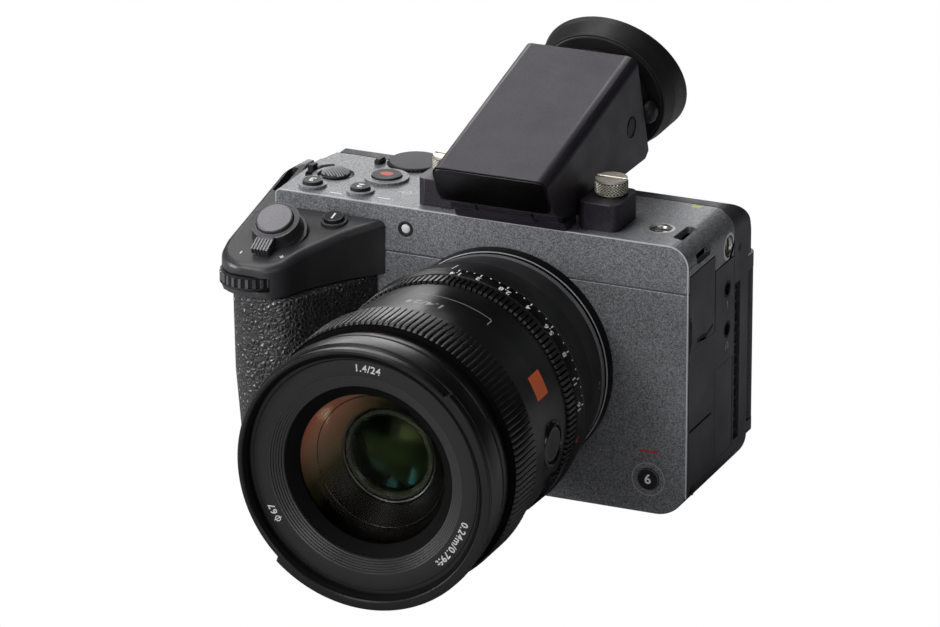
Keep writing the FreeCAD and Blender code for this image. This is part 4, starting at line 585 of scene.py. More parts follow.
def eased(points, radius, open_ends=False):
    """Profile with its corners rounded."""
    steps = 3
    least_turn = math.radians(8)
    rounded = []
    count = len(points)
    for i in range(count):
        corner = Vector(points[i])
        if open_ends and i in (0, count - 1):
            rounded.append(corner)
            continue
        before = Vector(points[i - 1]) - corner
        after = Vector(points[(i + 1) % count]) - corner
        turn = math.pi - before.angle(after)
        full = radius * math.tan(turn / 2) if turn < 3 else radius
        reach = min(full, before.length * 0.4, after.length * 0.4)
        if turn < least_turn or reach < 1e-4:
            rounded.append(corner)
            continue
        start = corner + before.normalized() * reach
        end = corner + after.normalized() * reach
        for step in range(steps + 1):
            t = step / steps
            rounded.append(start * (1 - t) ** 2 + corner * 2 * t * (1 - t) + end * t ** 2)
    return rounded


def lathe(name, profile, place, material, segments=180, ease=0.2, degrees=32, rule=None):
    """Full turn about local Z of a profile in (radius, z), closed on itself or on the axis.

    A rule may vary the radius around the turn.
    """
    on_axis = profile[0][0] == 0
    ring = eased(profile, ease, on_axis) if ease else [Vector(point) for point in profile]
    turns = [360 * i / segments for i in range(segments)]
    shape = bmesh.new()
    rows = []
    for radius, z in ring:
        if radius == 0:
            rows.append([shape.verts.new((0, 0, z * MM))] * segments)
        else:
            rows.append([shape.verts.new(around(rule(radius, z, turn) if rule else radius, turn, z))
                         for turn in turns])
    following = rows[1:] if on_axis else rows[1:] + rows[:1]
    for a, b in zip(rows, following):
        for i in range(segments):
            j = (i + 1) % segments
            shape.faces.new(list(dict.fromkeys((a[i], a[j], b[j], b[i]))))
    return plain(shape, name, material, place, degrees)


def copies_tree():
    """Node tree that sets turned copies of an object's own shape around local Z."""
    tree = bpy.data.node_groups.new("ring_of_copies", "GeometryNodeTree")
    for label, kind in (("Shape", "Geometry"), ("Count", "Int"), ("Step", "Float"), ("Material", "Material")):
        tree.interface.new_socket(label, in_out="INPUT", socket_type="NodeSocket" + kind)
    tree.interface.new_socket("Ring", in_out="OUTPUT", socket_type="NodeSocketGeometry")
    add = tree.nodes.new
    link = tree.links.new
    given = add("NodeGroupInput").outputs
    angle = add("ShaderNodeMath")
    angle.operation = "MULTIPLY"
    link(add("GeometryNodeInputIndex").outputs[0], angle.inputs[0])
    link(given["Step"], angle.inputs[1])
    turn = add("ShaderNodeCombineXYZ")
    link(angle.outputs[0], turn.inputs["Z"])
    points = add("GeometryNodePoints")
    link(given["Count"], points.inputs["Count"])
    copies = add("GeometryNodeInstanceOnPoints")
    link(points.outputs[0], copies.inputs["Points"])
    link(given["Shape"], copies.inputs["Instance"])
    link(turn.outputs[0], copies.inputs["Rotation"])
    realized = add("GeometryNodeRealizeInstances")
    link(copies.outputs[0], realized.inputs[0])
    dressed = add("GeometryNodeSetMaterial")
    link(realized.outputs[0], dressed.inputs["Geometry"])
    link(given["Material"], dressed.inputs["Material"])
    link(dressed.outputs[0], add("NodeGroupOutput").inputs["Ring"])
    return tree


def ring_of(shape, name, material, count, degrees=32):
    """Copies of a small bmesh, spaced evenly around local Z."""
    tree = bpy.data.node_groups.get("ring_of_copies") or copies_tree()
    piece = plain(shape, name, material, None, degrees)
    modifier = piece.modifiers.new("ring", "NODES")
    modifier.node_group = tree
    values = {"Count": count, "Step": math.radians(360.0 / count), "Material": MATERIALS[material]}
    for item in tree.interface.items_tree:
        if item.name in values:
            modifier[item.identifier] = values[item.name]
    applied(piece)
    smooth(piece, degrees)
    return piece


def prism(shape, corners, low, high):
    """Adds a closed prism to a bmesh: corners in (x, y), between two heights."""
    rows = [[shape.verts.new(Vector((x, y, z)) * MM) for x, y in corners] for z in (low, high)]
    count = len(corners)
    shape.faces.new(rows[0][::-1])
    shape.faces.new(rows[1])
    for i in range(count):
        j = (i + 1) % count
        shape.faces.new((rows[0][i], rows[0][j], rows[1][j], rows[1][i]))


def blocks(name, outlines, low, high, material, place=None, ease=0.0, steps=2):
    """Piece made of prisms, with their edges eased."""
    shape = bmesh.new()
    for corners in outlines:
        prism(shape, corners, low, high)
    if ease:
        bmesh.ops.bevel(shape, geom=shape.edges[:], offset=ease * MM, segments=steps, affect="EDGES")
    return plain(shape, name, material, place, 25)


def rib(width, foot, top, rear, front, slope=0.35, narrow=0.62, front_slope=None):
    """Bmesh of one rib that stands out along local X, runs along local Z and slopes down at its ends."""
    shape = bmesh.new()
    ease = 0.12
    half = width / 2
    crest = half * narrow
    low = foot + 0.05
    stations = ((rear, low), (rear + slope, top), (front - (front_slope or slope), top), (front, low))
    rows = []
    for z, reach in stations:
        shoulder = max(reach - ease, foot + 0.02)
        section = ((foot, -half), (shoulder, -crest), (reach, ease - crest), (reach, crest - ease),
                   (shoulder, crest), (foot, half))
        rows.append([shape.verts.new((x * MM, y * MM, z * MM)) for x, y in section])
    for a, b in zip(rows, rows[1:]):
        for i in range(len(a) - 1):
            shape.faces.new((a[i], a[i + 1], b[i + 1], b[i]))
    shape.faces.new(rows[0][::-1])
    shape.faces.new(rows[-1])
    bmesh.ops.recalc_face_normals(shape, faces=shape.faces)
    return shape


def stud(shape, centre, across, along, out, width, height, crest):
    """Adds a small four-sided stud whose flat top is a share of its foot."""
    sides = (across * width / 2, along * width / 2, -across * width / 2, -along * width / 2)
    foot = [shape.verts.new((centre + side) * MM) for side in sides]
    top = [shape.verts.new((centre + side * crest + out * height) * MM) for side in sides]
    shape.faces.new(top)
    for i in range(4):
        j = (i + 1) % 4
        shape.faces.new((foot[i], foot[j], top[j], top[i]))
    shape.faces.new(foot[::-1])


def letters(name, text, size, material, bend, spacing=1.0):
    """Flat figures as mesh, centred on local x = y = 0, then bent by a rule from millimetres to metres."""
    curve = bpy.data.curves.new(name, "FONT")
    curve.body = text
    curve.size = size * MM
    curve.align_x = "CENTER"
    curve.align_y = "CENTER"
    curve.space_character = spacing
    curve.resolution_u = 4
    curve.offset = 0.02 * size * MM
    words = keep(curve, name)
    depsgraph = bpy.context.evaluated_depsgraph_get()
    mesh = bpy.data.meshes.new_from_object(words.evaluated_get(depsgraph))
    bpy.data.objects.remove(words)
    bpy.data.curves.remove(curve)
    for vertex in mesh.vertices:
        vertex.co = bend(vertex.co.x / MM, vertex.co.y / MM)
    piece = keep(mesh, name)
    dress(piece, material)
    return piece


def level_at(rise):
    """Rule that lays a flat figure at a height over its own plane."""
    return lambda x, y: Vector((x, y, rise)) * MM


def profile_radius(*points):
    """Rule that gives the radius of a turned profile at a height."""
    def radius_at(height):
        for (r0, z0), (r1, z1) in zip(points, points[1:]):
            if z0 <= height <= z1:
                return r0 + (r1 - r0) * (height - z0) / (z1 - z0)
        return points[0][0] if height < points[0][1] else points[-1][0]
    return radius_at


def on_barrel(radius_at, degrees, z):
    """Rule that lays a flat figure on a turned surface, to be read from behind the camera."""
    def bend(x, y):
        radius = radius_at(z + y) + 0.03
        return around(radius, degrees + math.degrees(x / radius), z + y)
    return bend


def on_name_ring(degrees, rise=0.0):
    """Rule that lays a flat figure on the name ring, to be read from the front."""
    def bend(x, y):
        turn = degrees - math.degrees(x / NAME_RING_MIDDLE)
        return around(NAME_RING_MIDDLE + y, turn, NAME_RING_FACE + rise)
    return bend


def patch(shape, rule, outline):
    """Adds a flat patch to a bmesh, each corner laid by the rule."""
    shape.faces.new([shape.verts.new(rule(x, y)) for x, y in outline])


def open_edges(shape, width):
    """Sharp edges that have room for a rounding of this width on both sides."""
    sharp_angle = math.radians(35)
    face_room, side_room = 1.2 * width, 1.3 * width
    sharp = {edge for edge in shape.edges
             if len(edge.link_faces) == 2 and edge.calc_face_angle() > sharp_angle}
    wide = {face for face in shape.faces if 2 * face.calc_area() / face.calc_perimeter() > face_room}
    chosen = []
    for edge in shape.edges:
        if edge in sharp and all(face in wide for face in edge.link_faces):
            beside = [other for vert in edge.verts for other in vert.link_edges if other not in sharp]
            if all(other.calc_length() > side_room for other in beside):
                chosen.append(edge)
    return chosen


def softened(node, width, body, material, edge=None):
    """Copy of a CAD solid whose sharp edges are rounded, which stands for it; the rounded edges may take a
    lighter finish that paints their highlight.
    """
    weld = 2e-6
    flat_angle = math.radians(0.6)
    mesh = frame["nodes"][node].data.copy()
    shape = bmesh.new()
    shape.from_mesh(mesh)
    bmesh.ops.remove_doubles(shape, verts=shape.verts, dist=weld)
    bmesh.ops.dissolve_limit(shape, angle_limit=flat_angle, verts=shape.verts, edges=shape.edges)
    for face in shape.faces:
        face.material_index = 0
    if width:
        bmesh.ops.bevel(shape, geom=open_edges(shape, width * MM), offset=width * MM, segments=3, profile=0.5,
                        affect="EDGES", clamp_overlap=False, material=1 if edge else -1)
    shape.to_mesh(mesh)
    shape.free()
    piece = keep(mesh, node + "_finished")
    dress(piece, material, edge or material)
    smooth(piece)
    if width:
        piece.modifiers.new("flat_faces", "WEIGHTED_NORMAL").keep_sharp = True
        applied(piece)
    settle(piece, body, None, node)


def figure(text, size, place, body, rise):
    """White number laid flat on a part."""
    piece = letters("figure_white_mark", text, size, "white_mark", level_at(rise))
    settle(moved(piece, place), body)


def flat(name, outlines, place, body, material, rise=0.03):
    """Flat marks laid on a part, from their outlines in (x, y)."""
    shape = bmesh.new()
    for outline in outlines:
        patch(shape, level_at(rise), outline)
    settle(plain(shape, name, material, place), body)


def rim(radius, height, place, body, material="lit_edge", width=0.14, segments=64):
    """Thin rounded line around a part; in a light finish it is a painted highlight on the part's edge."""
    profile = ((radius - width, height - 0.03), (radius - width * 0.5, height + 0.03),
               (radius, height - 0.02), (radius - width * 0.3, height - 0.1))
    settle(lathe("rim", profile, place, material, segments, ease=0), body)


def thread(name, place, body):
    """Quarter-inch screw thread inside a bore."""
    major, minor, pitch = 3.165, 2.72, 1.27
    low, high = -5.6, -0.35
    profile = [(major, high), (major, low)]
    for i in range(int((high - low) / pitch)):
        z = low + i * pitch
        profile += [(major - 0.05, z + 0.08), (minor, z + pitch * 0.45), (minor, z + pitch * 0.55),
                    (major - 0.05, z + pitch - 0.08)]
    settle(lathe(name, profile, place, "bare_steel", 64, ease=0), body)


def screw(name, place, body, radius=1.1):
    """Flush screw head with a cross recess, in a dark seat."""
    head = lathe(name, ((0, 0.06), (radius * 0.7, 0.06), (radius, 0.0), (radius, -0.3), (0, -0.3)),
                 None, "control_black", 32, 0.05)
    inner, outer = radius + 0.02, radius + 0.3
    section = ((inner, 0.02), (outer, 0.02), (outer, -0.1), (inner, -0.1))
    ring = lathe(name, section, None, "dark_inner", 32, 0)
    shape = bmesh.new()
    for outline in (box_points(radius * 1.1, 0.2), box_points(0.2, radius * 1.1)):
        patch(shape, level_at(0.075), outline)
    cross = plain(shape, name, "dark_inner")
    settle(joined(name, head, ring, cross, place=place), body)


# Stage

def photo_camera(scene):
    """Camera at the photograph's place and angle."""
    lens = bpy.data.cameras.new("photo_camera")
    lens.sensor_width = SENSOR_WIDTH
    lens.lens = PHOTO_FOCAL * SENSOR_WIDTH / PHOTO_WIDTH
    lens.clip_end = 10.0
    view = keep(lens, "photo_camera")
    azimuth, elevation, roll = (math.radians(angle) for angle in (PHOTO_AZIMUTH, PHOTO_ELEVATION, PHOTO_ROLL))
    turn = Matrix.Rotation(azimuth, 4, "Z") @ Matrix.Rotation(math.pi / 2 - elevation, 4, "X")
    view.matrix_world = Matrix.Translation(PHOTO_PLACE * MM) @ turn @ Matrix.Rotation(roll, 4, "Z")
    scene.camera = view


def seen_by_camera(tree, lit, seen, output):
    """Shows one shader to the camera and the other one to every other ray."""
    path = tree.nodes.new("ShaderNodeLightPath")
    blend(tree, path.outputs["Is Camera Ray"], lit, seen, output)


def white_floor():
    """Floor just under the base, white to the camera."""
    reach = 3.0
    mesh = bpy.data.meshes.new("floor")
    corners = [(-reach, -reach, 0), (reach, -reach, 0), (reach, reach, 0), (-reach, reach, 0)]
    mesh.from_pydata(corners, [], [(0, 1, 2, 3)])
    floor = keep(mesh, "floor")
    floor.location.z = -0.4 * MM
    white = new_shader("floor_white", (0.45, 0.45, 0.46), 0.8)
    glow = white.node_tree.nodes.new("ShaderNodeEmission")
    glow.inputs["Strength"].default_value = 1.0
    lit = white.node_tree.nodes["Principled BSDF"].outputs["BSDF"]
    seen_by_camera(white.node_tree, lit, glow.outputs["Emission"], "Material Output")
    mesh.materials.append(white)


def studio_room(scene):
    """Dim cool room, white to the camera."""
    world = bpy.data.worlds.new("studio")
    scene.world = world
    world.use_nodes = True
    room = world.node_tree.nodes["Background"]
    room.inputs["Color"].default_value = (0.85, 0.9, 1.0, 1)
    room.inputs["Strength"].default_value = 0.02
    seen = world.node_tree.nodes.new("ShaderNodeBackground")
    seen.inputs["Color"].default_value = (1, 1, 1, 1)
    seen_by_camera(world.node_tree, room.outputs["Background"], seen.outputs["Background"], "World Output")


def soft_lights():
    """Rectangular lights around the camera, aimed at its middle."""
    for name, place, size, power in SOFT_LIGHTS:
        lamp = bpy.data.lights.new(name, "AREA")
        lamp.shape = "RECTANGLE"
        lamp.size, lamp.size_y = size
        lamp.energy = power
        light = keep(lamp, name)
        light.location = place
        light.rotation_euler = (LIGHTS_AIM - Vector(place)).to_track_quat("-Z", "Y").to_euler()


# Housing details

def edge_arc(x, z, radius, start, end, steps):
    """Points of a rounded corner, each with its outward direction."""
    directions = (turned(1.0, start + (end - start) * i / steps) for i in range(steps + 1))
    return [(x + radius * out_x, z + radius * out_z, out_x, out_z) for out_x, out_z in directions]


def edge_line():
    """Painted highlight: a bright line along the front edge of the covers, over both top corners."""
    left, right = 1.5, 6.0
    path = [(LEFT_X, 75.0, -1.0, 0.0), *edge_arc(LEFT_X + left, TOP_Z - left, left, 180, 90, 8),
            *edge_arc(SIDE_X - right, TOP_Z - right, right, 90, 0, 12), (SIDE_X, 6.0, 1.0, 0.0)]
    section = ((0.03, FRONT_Y + 0.3), (0.03, FRONT_Y - 0.03), (-0.3, FRONT_Y - 0.03))
    line = bmesh.new()
    rows = [[line.verts.new(Vector((x + out_x * off, y, z + out_z * off)) * MM) for off, y in section]
            for x, z, out_x, out_z in path]
    for a, b in zip(rows, rows[1:]):
        for i in range(3):
            line.faces.new((a[i], a[(i + 1) % 3], b[(i + 1) % 3], b[i]))
    line.faces.new(rows[0][::-1])
    line.faces.new(rows[-1])
    settle(plain(line, "edge_line", "paint_edge_highlight", None, 25), ROOT)


def tally_lamp():
    """Milky lamp in a dished bezel."""
    lamp = lathe("lamp_disc", ((0, 0.1), (0.8, 0.02), (1.3, -0.15), (1.3, -0.8), (0, -0.8)),
                 None, "lamp_white", 48, 0.1)
    profile = ((1.32, -0.3), (1.5, 0.0), (1.85, 0.12), (2.24, 0.02), (2.24, -1.6), (1.32, -1.6))
    bezel = lathe("lamp_bezel", profile, None, "control_black", 48, 0.1)
    place = seat(-29.9, FRONT_Y, 72.7, ON_FRONT)
    settle(joined("tally_lamp_finished", lamp, bezel, place=place), ROOT, "lamp", "tally_lamp")


def cover_marks():
    """Marks and microphone holes of the roof and the front."""
    flat("lime_mark", (box_points(2.6, 1.7),), seat(43.5, 18.2, TOP_Z), ROOT, "lime_mark")
    flat("image_plane_mark", ring_points(1.35, 1.12, 24) + [box_points(4.4, 0.24)],
         seat(-34.4, -2.8, TOP_Z), ROOT, "white_mark")
    for x, y in ((-19.1, -10.8), (21.5, -11.0)):
        for step in (-1.1, 0.0, 1.1):
            hole = disc_points(0.34, count=12)
            flat("microphone_hole", (hole,), seat(x + step, y, TOP_Z), ROOT, "dark_inner")
    for x, y in ((-52.4, -10.9), (-38.3, -9.6)):
        flat("button_bar", (box_points(3.6, 0.45),), seat(x, y, TOP_Z), ROOT, "white_mark")
    flat("front_bar", (box_points(5.4, 0.6),), seat(43.0, FRONT_Y, 18.3, ON_FRONT), ROOT, "red_mark")
    flat("mount_tick", (box_points(0.5, 1.6),), seat(18.4, FRONT_Y, 64.4, ON_FRONT), ROOT, "white_mark")


def side_fittings():
    """Screws of the side and the marks of its two round sockets."""
    screw("side_screw", seat(SIDE_X, -9.2, 6.7, ON_SIDE), ROOT)
    screw("rear_screw", seat(SIDE_X, 24.5, 66.5, ON_SIDE), ROOT, 0.9)
    slash = ((-0.5, 1.3), (0.1, 1.3), (0.5, -1.3), (0.3, -1.3))
    flat("jack_mark", (slash,), seat(SIDE_X, 15.4, 52.6, ON_SIDE), ROOT, "grey_mark")
    lift = 0.3
    turns = range(0, 181, 20)
    arch = [turned(0.9, turn) for turn in turns] + [turned(0.6, turn) for turn in reversed(turns)]
    arch = [(x, y + lift) for x, y in arch]
    flat("jack_mark", (arch, box_points(0.5, 1.2, -0.75, -0.3), box_points(0.5, 1.2, 0.75, -0.3)),
         seat(SIDE_X, 15.4, 40.6, ON_SIDE), ROOT, "grey_mark")


def side_door_catch():
    """Finger notch, groove and lip of the side door."""
    door = body_of("side_door")
    for name, corners, low, material, ease in (
            ("finger_notch", ((-12.3, 48.6), (-10.9, 50.6), (-10.9, 56.2), (-11.6, 57.4), (-12.3, 57.4)),
             0.0, "dark_inner", 0.0),
            ("catch_groove", ((-6.9, 49.3), (-1.2, 48.5), (4.6, 50.2), (4.6, 51.1), (0.4, 49.8), (-2.6, 50.5),
                              (-6.9, 50.3)), 0.0, "dark_inner", 0.0),
            ("catch_lip", ((-5.4, 48.7), (-1.2, 48.2), (-1.0, 49.2), (-5.0, 49.8)),
             -0.3, "panel_plastic", 0.05)):
        settle(blocks(name, (corners,), low, 0.06, material, ON_DOOR, ease), door)


# Controls

def button_faces():
    """Numbers, the record disc and the rims of the buttons, most of them light lines that paint the
    highlights of their edges.
    """
    for text, node, place, rise in (
            ("1", "button_1", DECK_BUTTON @ FROM_BEHIND, 1.93),
            ("2", "button_2", INNER_BUTTON @ FROM_BEHIND, 1.93),
            ("3", "button_3", OUTER_BUTTON @ FROM_BEHIND, 1.93),
            ("6", "button_6", FRONT_BUTTON, 0.93)):
        figure(text, 3.9, place, body_of(node), rise)
    disc = disc_points(1.9, stretch=0.8, count=28)
    flat("record_disc", (disc,), RECORD_BUTTON, body_of("rec_button"), "red_mark", 1.53)
    # Painted highlights: light lines round the collars of the buttons
    for radius, height, place in (
            (3.88, 0.82, INNER_BUTTON), (3.88, 0.82, OUTER_BUTTON), (6.28, 0.82, RECORD_BUTTON),
            (4.62, 0.82, RECORD_BUTTON), (3.08, 0.82, INNER_BUTTON), (3.08, 0.82, OUTER_BUTTON),
            (4.88, 0.62, FRONT_BUTTON)):
        rim(radius, height, place, ROOT, width=0.2)
    rim(5.25, 0.03, SELECTOR, ROOT, "control_black")
    # Painted highlights: lighter lines round the edges of the button caps
    for radius, height, place, node in (
            (2.72, 1.86, INNER_BUTTON, "button_2"), (2.72, 1.86, OUTER_BUTTON, "button_3"),
            (2.72, 1.86, DECK_BUTTON, "button_1"), (4.2, 1.46, RECORD_BUTTON, "rec_button"),
            (3.1, 0.87, FRONT_BUTTON, "button_6")):
        rim(radius, height, place, body_of(node), "control_rim_highlight", 0.26)


def selector():
    """Domed cap of the multi-selector under a field of small studs, in a light finish that paints their
    highlights.
    """
    step = 0.52
    field = 3.95
    crown, fall = 1.35, 0.05
    shape = bmesh.new()
    for i in range(-8, 9):
        for j in range(-8, 9):
            x, y = (i + j) * step, (i - j) * step
            reach = math.hypot(x, y)
            if reach < field:
                centre = Vector((x, y, crown - fall * reach ** 2))
                stud(shape, centre, Vector((1, 0, 0)), Vector((0, 1, 0)), Vector((0, 0, 1)), 0.74, 0.45, 0.35)
    # Painted highlights: the studs are light grey on the black cap
    settle(plain(shape, "selector_studs", "stud_highlight", SELECTOR, 20), body_of("multi_selector"))
    profile = ((0, 1.42), (1.5, 1.31), (3.0, 0.97), (4.1, 0.5), (4.35, 0.2), (4.2, -0.08), (0, -0.08))
    cap = lathe("selector_cap", profile, SELECTOR, "control_black", 72)
    settle(cap, body_of("multi_selector"), None, "multi_selector")


def shutter_and_lever():
    """Dished shutter button in its ring, with the ribbed zoom lever and its ticks."""
    profile = ((0, 6.22), (3.6, 6.3), (4.75, 6.34), (5.1, 6.2), (5.2, 5.95), (5.2, 4.6), (1.95, 4.6),
               (1.95, -2.0), (0, -2.0))
    disc = lathe("shutter_disc", profile, SHUTTER, "shutter_metal", 96, 0.15)
    settle(disc, body_of("shutter_button"), "shutter_metal", "shutter_button")
    lever = body_of("zoom_lever")
    # Painted highlights: lighter lines on the ring round the shutter button
    for radius in (6.86, 5.72):
        rim(radius, 5.2, SHUTTER, lever, "control_rim_highlight", 0.32, 96)
    ribs = [box_points(0.54, 4.45, -2.25 + i * 0.9, -9.625) for i in range(6)]
    settle(blocks("lever_ribs", ribs, 3.5, 5.62, "dial_metal", SHUTTER, 0.09), lever)
    # Painted highlight round the deck button
    rim(3.7, 1.05, DECK_BUTTON, ROOT, "control_rim_highlight", 0.22)
    ticks = (box_points(0.35, 1.3, -6.0, -12.0), box_points(1.3, 0.35, 6.0, -11.2),
             box_points(0.35, 1.3, 6.0, -11.2))
    flat("zoom_ticks", ticks, seat(-61.9, -27.9, 71.46, ON_DECK), ROOT, "white_mark", 0.05)


def dials():
    """Toothed front dial, flat rear dial with its rest, and the ribs of the control wheel."""
    profile = ((0, -1.9), (9.3, -1.9), (9.5, -1.7), (9.5, -1.3), (9.35, -1.15), (8.95, -1.1), (8.95, 1.5),
               (9.2, 1.6), (9.2, 1.9), (0, 1.9))
    drum = lathe("front_drum", profile, None, "control_black", 120, 0.06)
    teeth = ring_of(rib(1.25, 8.9, 9.48, -1.2, 1.62, 0.12, 0.8), "front_teeth", "dial_metal", 28)
    settle(joined("front_dial_finished", drum, teeth, place=seat(-65.2, -37.2, 62.4)), body_of("front_dial"),
           "control_plastic", "front_dial")
    plate = lathe("dial_plate", ((0, 0.0), (7.3, 0.0), (7.5, -0.15), (7.5, -0.4), (0, -0.4)),
                  None, "dial_plate", 120, 0.08)
    drum = lathe("dial_drum", ((0, -0.2), (7.5, -0.35), (7.62, -0.5), (7.62, -3.4), (0, -3.4)),
                 None, "control_black", 120, 0.06)
    teeth = ring_of(rib(0.62, 7.5, 7.8, -3.3, -0.35, 0.15), "dial_teeth", "control_black", 44)
    settle(joined("rear_dial_finished", plate, drum, teeth, place=seat(-42.0, 20.3, 80.0)),
           body_of("rear_dial"), None, "rear_dial")
    rest = ((-52.6, 15.0), (-50.4, 14.6), (-50.0, 18.4), (-52.2, 19.0))
    settle(blocks("dial_rest", (rest,), TOP_Z - 0.3, TOP_Z + 1.5, "control_black", None, 0.45, 3), ROOT)
    ribs = ring_of(rib(0.5, 7.4, 8.0, -0.1, 0.5, 0.1), "wheel_ribs", "control_black", 48)
    settle(moved(ribs, seat(-48.0, 33.0, 38.0, ON_REAR)), body_of("control_wheel"))


# Finder

def finder_front():
    """Glossy plate in the leaning front face, in a dark gap."""
    slant = Vector((0, -1.8, 11.4)).normalized()
    out = Vector((1, 0, 0)).cross(slant)
    face = Matrix((Vector((1, 0, 0)), slant, out)).transposed().to_4x4()
    face = FINDER @ seat(0, -65.0, 7.8, face)
    for name, inset, high, material, ease in (("front_gap", -0.1, 0.03, "dark_inner", 0.0),
                                              ("front_plate", 0.25, 0.3, "finder_front", 0.16)):
        corners = ((inset - 17.5, 0.3), (16.2 - inset, 0.3), (15.75 - inset, 11.5 - inset),
                   (inset - 17.7, 11.5 - inset))
        shape = bmesh.new()
        prism(shape, eased(corners, 2.6), -0.2, high)
        if ease:
            top = (high - 0.01) * MM
            rim_edges = [edge for edge in shape.edges if all(vert.co.z > top for vert in edge.verts)]
            bmesh.ops.bevel(shape, geom=rim_edges, offset=ease * MM, segments=3, affect="EDGES", profile=0.5)
        settle(plain(shape, name, material, face, 25), body_of("finder_housing"))


def finder_controls():
    """Ribbed diopter knob, and round the finder button a dark ring and a dark disc of painted shade, with a
    painted highlight on its rim.
    """
    profile = ((0, 18.3), (1.4, 18.25), (2.5, 17.6), (3.1, 16.6), (3.15, 15.4), (2.6, 15.1), (0, 15.1))
    knob = lathe("diopter_dome", profile, DIOPTER_KNOB, "soft_rubber", 64, 0.25)
    ribs = ring_of(rib(0.42, 3.0, 3.2, 15.3, 16.9, 0.2), "diopter_ribs", "control_black", 28)
    settle(joined("diopter_knob_finished", knob, moved(ribs, DIOPTER_KNOB)), body_of("diopter_knob"), None,
           "diopter_knob")
    # Painted shade: a dark ring round the finder button, where its recess lies
    well = lathe("button_recess_shade", ((2.62, 16.5), (2.75, 16.62), (3.3, 16.58), (3.3, 16.4), (2.62, 16.3)),
                 FINDER_BUTTON, "dark_inner", 48, 0.05)
    settle(well, body_of("finder_housing"))
    # Painted highlight on the rim of the finder button
    rim(2.45, 16.42, FINDER_BUTTON, body_of("finder_button"), "control_rim_highlight", 0.2)
    # Painted shadow: a dark disc set towards the front, so that a dark crescent shows beside the button
    flat("button_shadow", (disc_points(2.9, count=24),), FINDER @ seat(15.98, -10.9, 1.9, ON_SIDE),
         body_of("finder_housing"), "dark_inner")


def knurl_column(count):
    """Bmesh of one column of knurl points, in staggered rows, for a ring of this many columns."""
    foot, height = 0.55, 0.74
    pitch_radius, foot_radius = 4.42, 4.44
    column = bmesh.new()
    pitch = 2 * math.pi * pitch_radius / count
    for row in range(4):
        for half in (0.0, 0.5):
            angle = 2 * math.pi * half / count
            out = Vector((math.cos(angle), math.sin(angle), 0))
            centre = Vector((foot_radius * out.x, foot_radius * out.y, foot + (row + half) * height))
            across = Vector((-out.y, out.x, 0)) * pitch / height
            stud(column, centre, across, Vector((0, 0, 1)), out, 0.64, 0.2, 0.45)
    bmesh.ops.remove_doubles(column, verts=column.verts, dist=1e-7)
    bmesh.ops.recalc_face_normals(column, faces=column.faces)
    return column


def thumbscrews(count):
    """Knurled thumbscrews that hold the finder's base to the roof."""
    for side, x in (("left", -22.4), ("right", 26.0)):
        node = "thumbscrew_" + side
        place = seat(x, -1.0, 87.3)
        softened(node, 0.25, body_of(node), "nickel")
        knurl = ring_of(knurl_column(count), node + "_knurl", "nickel", count, 20)
        # Painted shade: a dark sleeve under the knurl points darkens the gaps between them
        shade_sleeve = lathe(node + "_sleeve", ((4.3, 0.3), (4.47, 0.3), (4.47, 3.5), (4.3, 3.5)),
                       None, "dark_inner", 72, 0)
        settle(joined(node + "_knurled", knurl, shade_sleeve, place=place), body_of(node))
        rim(4.3, 4.15, place, body_of(node), "nickel", 0.3)


# Lens

def hood_rim(radius, z, degrees):
    """The front rim keeps its full radius only where the hood takes hold; over the rest it stands lower."""
    start, end = 47.3, 227.5
    lip_z, lip_radius = 107.6, 36.4
    drop = 1.3
    if start < degrees % 360 < end and z > lip_z and radius > lip_radius:
        return radius - drop
    return radius


def mount_trim():
    """Ring between the body and the lens mount, with a light line on its edge that paints its highlight."""
    trim = lathe("trim_ring", ((29.5, 14.02), (32.2, 14.02), (31.85, 16.7), (31.6, 17.0), (31.3, 17.05),
                               (31.15, 17.3), (29.5, 17.3)), LENS, "lens_satin", ease=0.08)
    # Painted highlight along the trim's edge
    edge = lathe("trim_line", ((31.55, 16.95), (31.78, 16.95), (31.66, 17.08), (31.5, 17.08)),
                 LENS, "grey_mark", ease=0)
    settle(joined("mount_trim", trim, edge), ROOT, "lens_black", "mount_trim_ring")


def front_barrel():
    """Front of the barrel with its filter thread, and lighter lines at the edges of its steps that paint
    their highlights.
    """
    profile = (
        (28.0, 93.4), (35.4, 93.4), (36.5, 99.4), (36.0, 99.7), (36.0, 100.6), (36.7, 101.0), (36.7, 106.6),
        (36.2, 107.0), (36.2, 107.5), (37.4, 108.0), (37.4, 109.8), (36.9, 110.4), (34.9, 110.4),
        (34.5, 110.0), (34.5, 107.7), (32.45, 107.7), (32.45, 104.0), (28.0, 104.0))
    barrel = lathe("front_barrel", profile, LENS, "lens_satin", 360, 0.1, rule=hood_rim)
    throat = lathe("filter_thread", (
        (34.55, 110.1), (34.3, 110.1), (33.5, 109.4), (33.8, 109.15), (33.5, 108.9), (33.8, 108.65),
        (33.5, 108.4), (33.8, 108.15), (33.5, 107.75), (34.55, 107.75)), LENS, "inner_black", 240, 0)
    settle(joined("front_barrel_finished", barrel, throat), ROOT, "lens_black", "front_barrel")
    rings = []
    # Painted highlights: lighter lines round the edges of the steps
    for radius, z in ((36.45, 99.52), (36.62, 106.75), (37.42, 108.1), (37.2, 110.1)):
        inner = radius - 0.12
        section = ((inner, z - 0.06), (radius, z - 0.06), (radius, z + 0.06), (inner, z + 0.06))
        rings.append(lathe("rim_line", section, LENS, "ridge_satin", 360, 0, rule=hood_rim))
    settle(joined("rim_lines", *rings), ROOT, "lens_black")


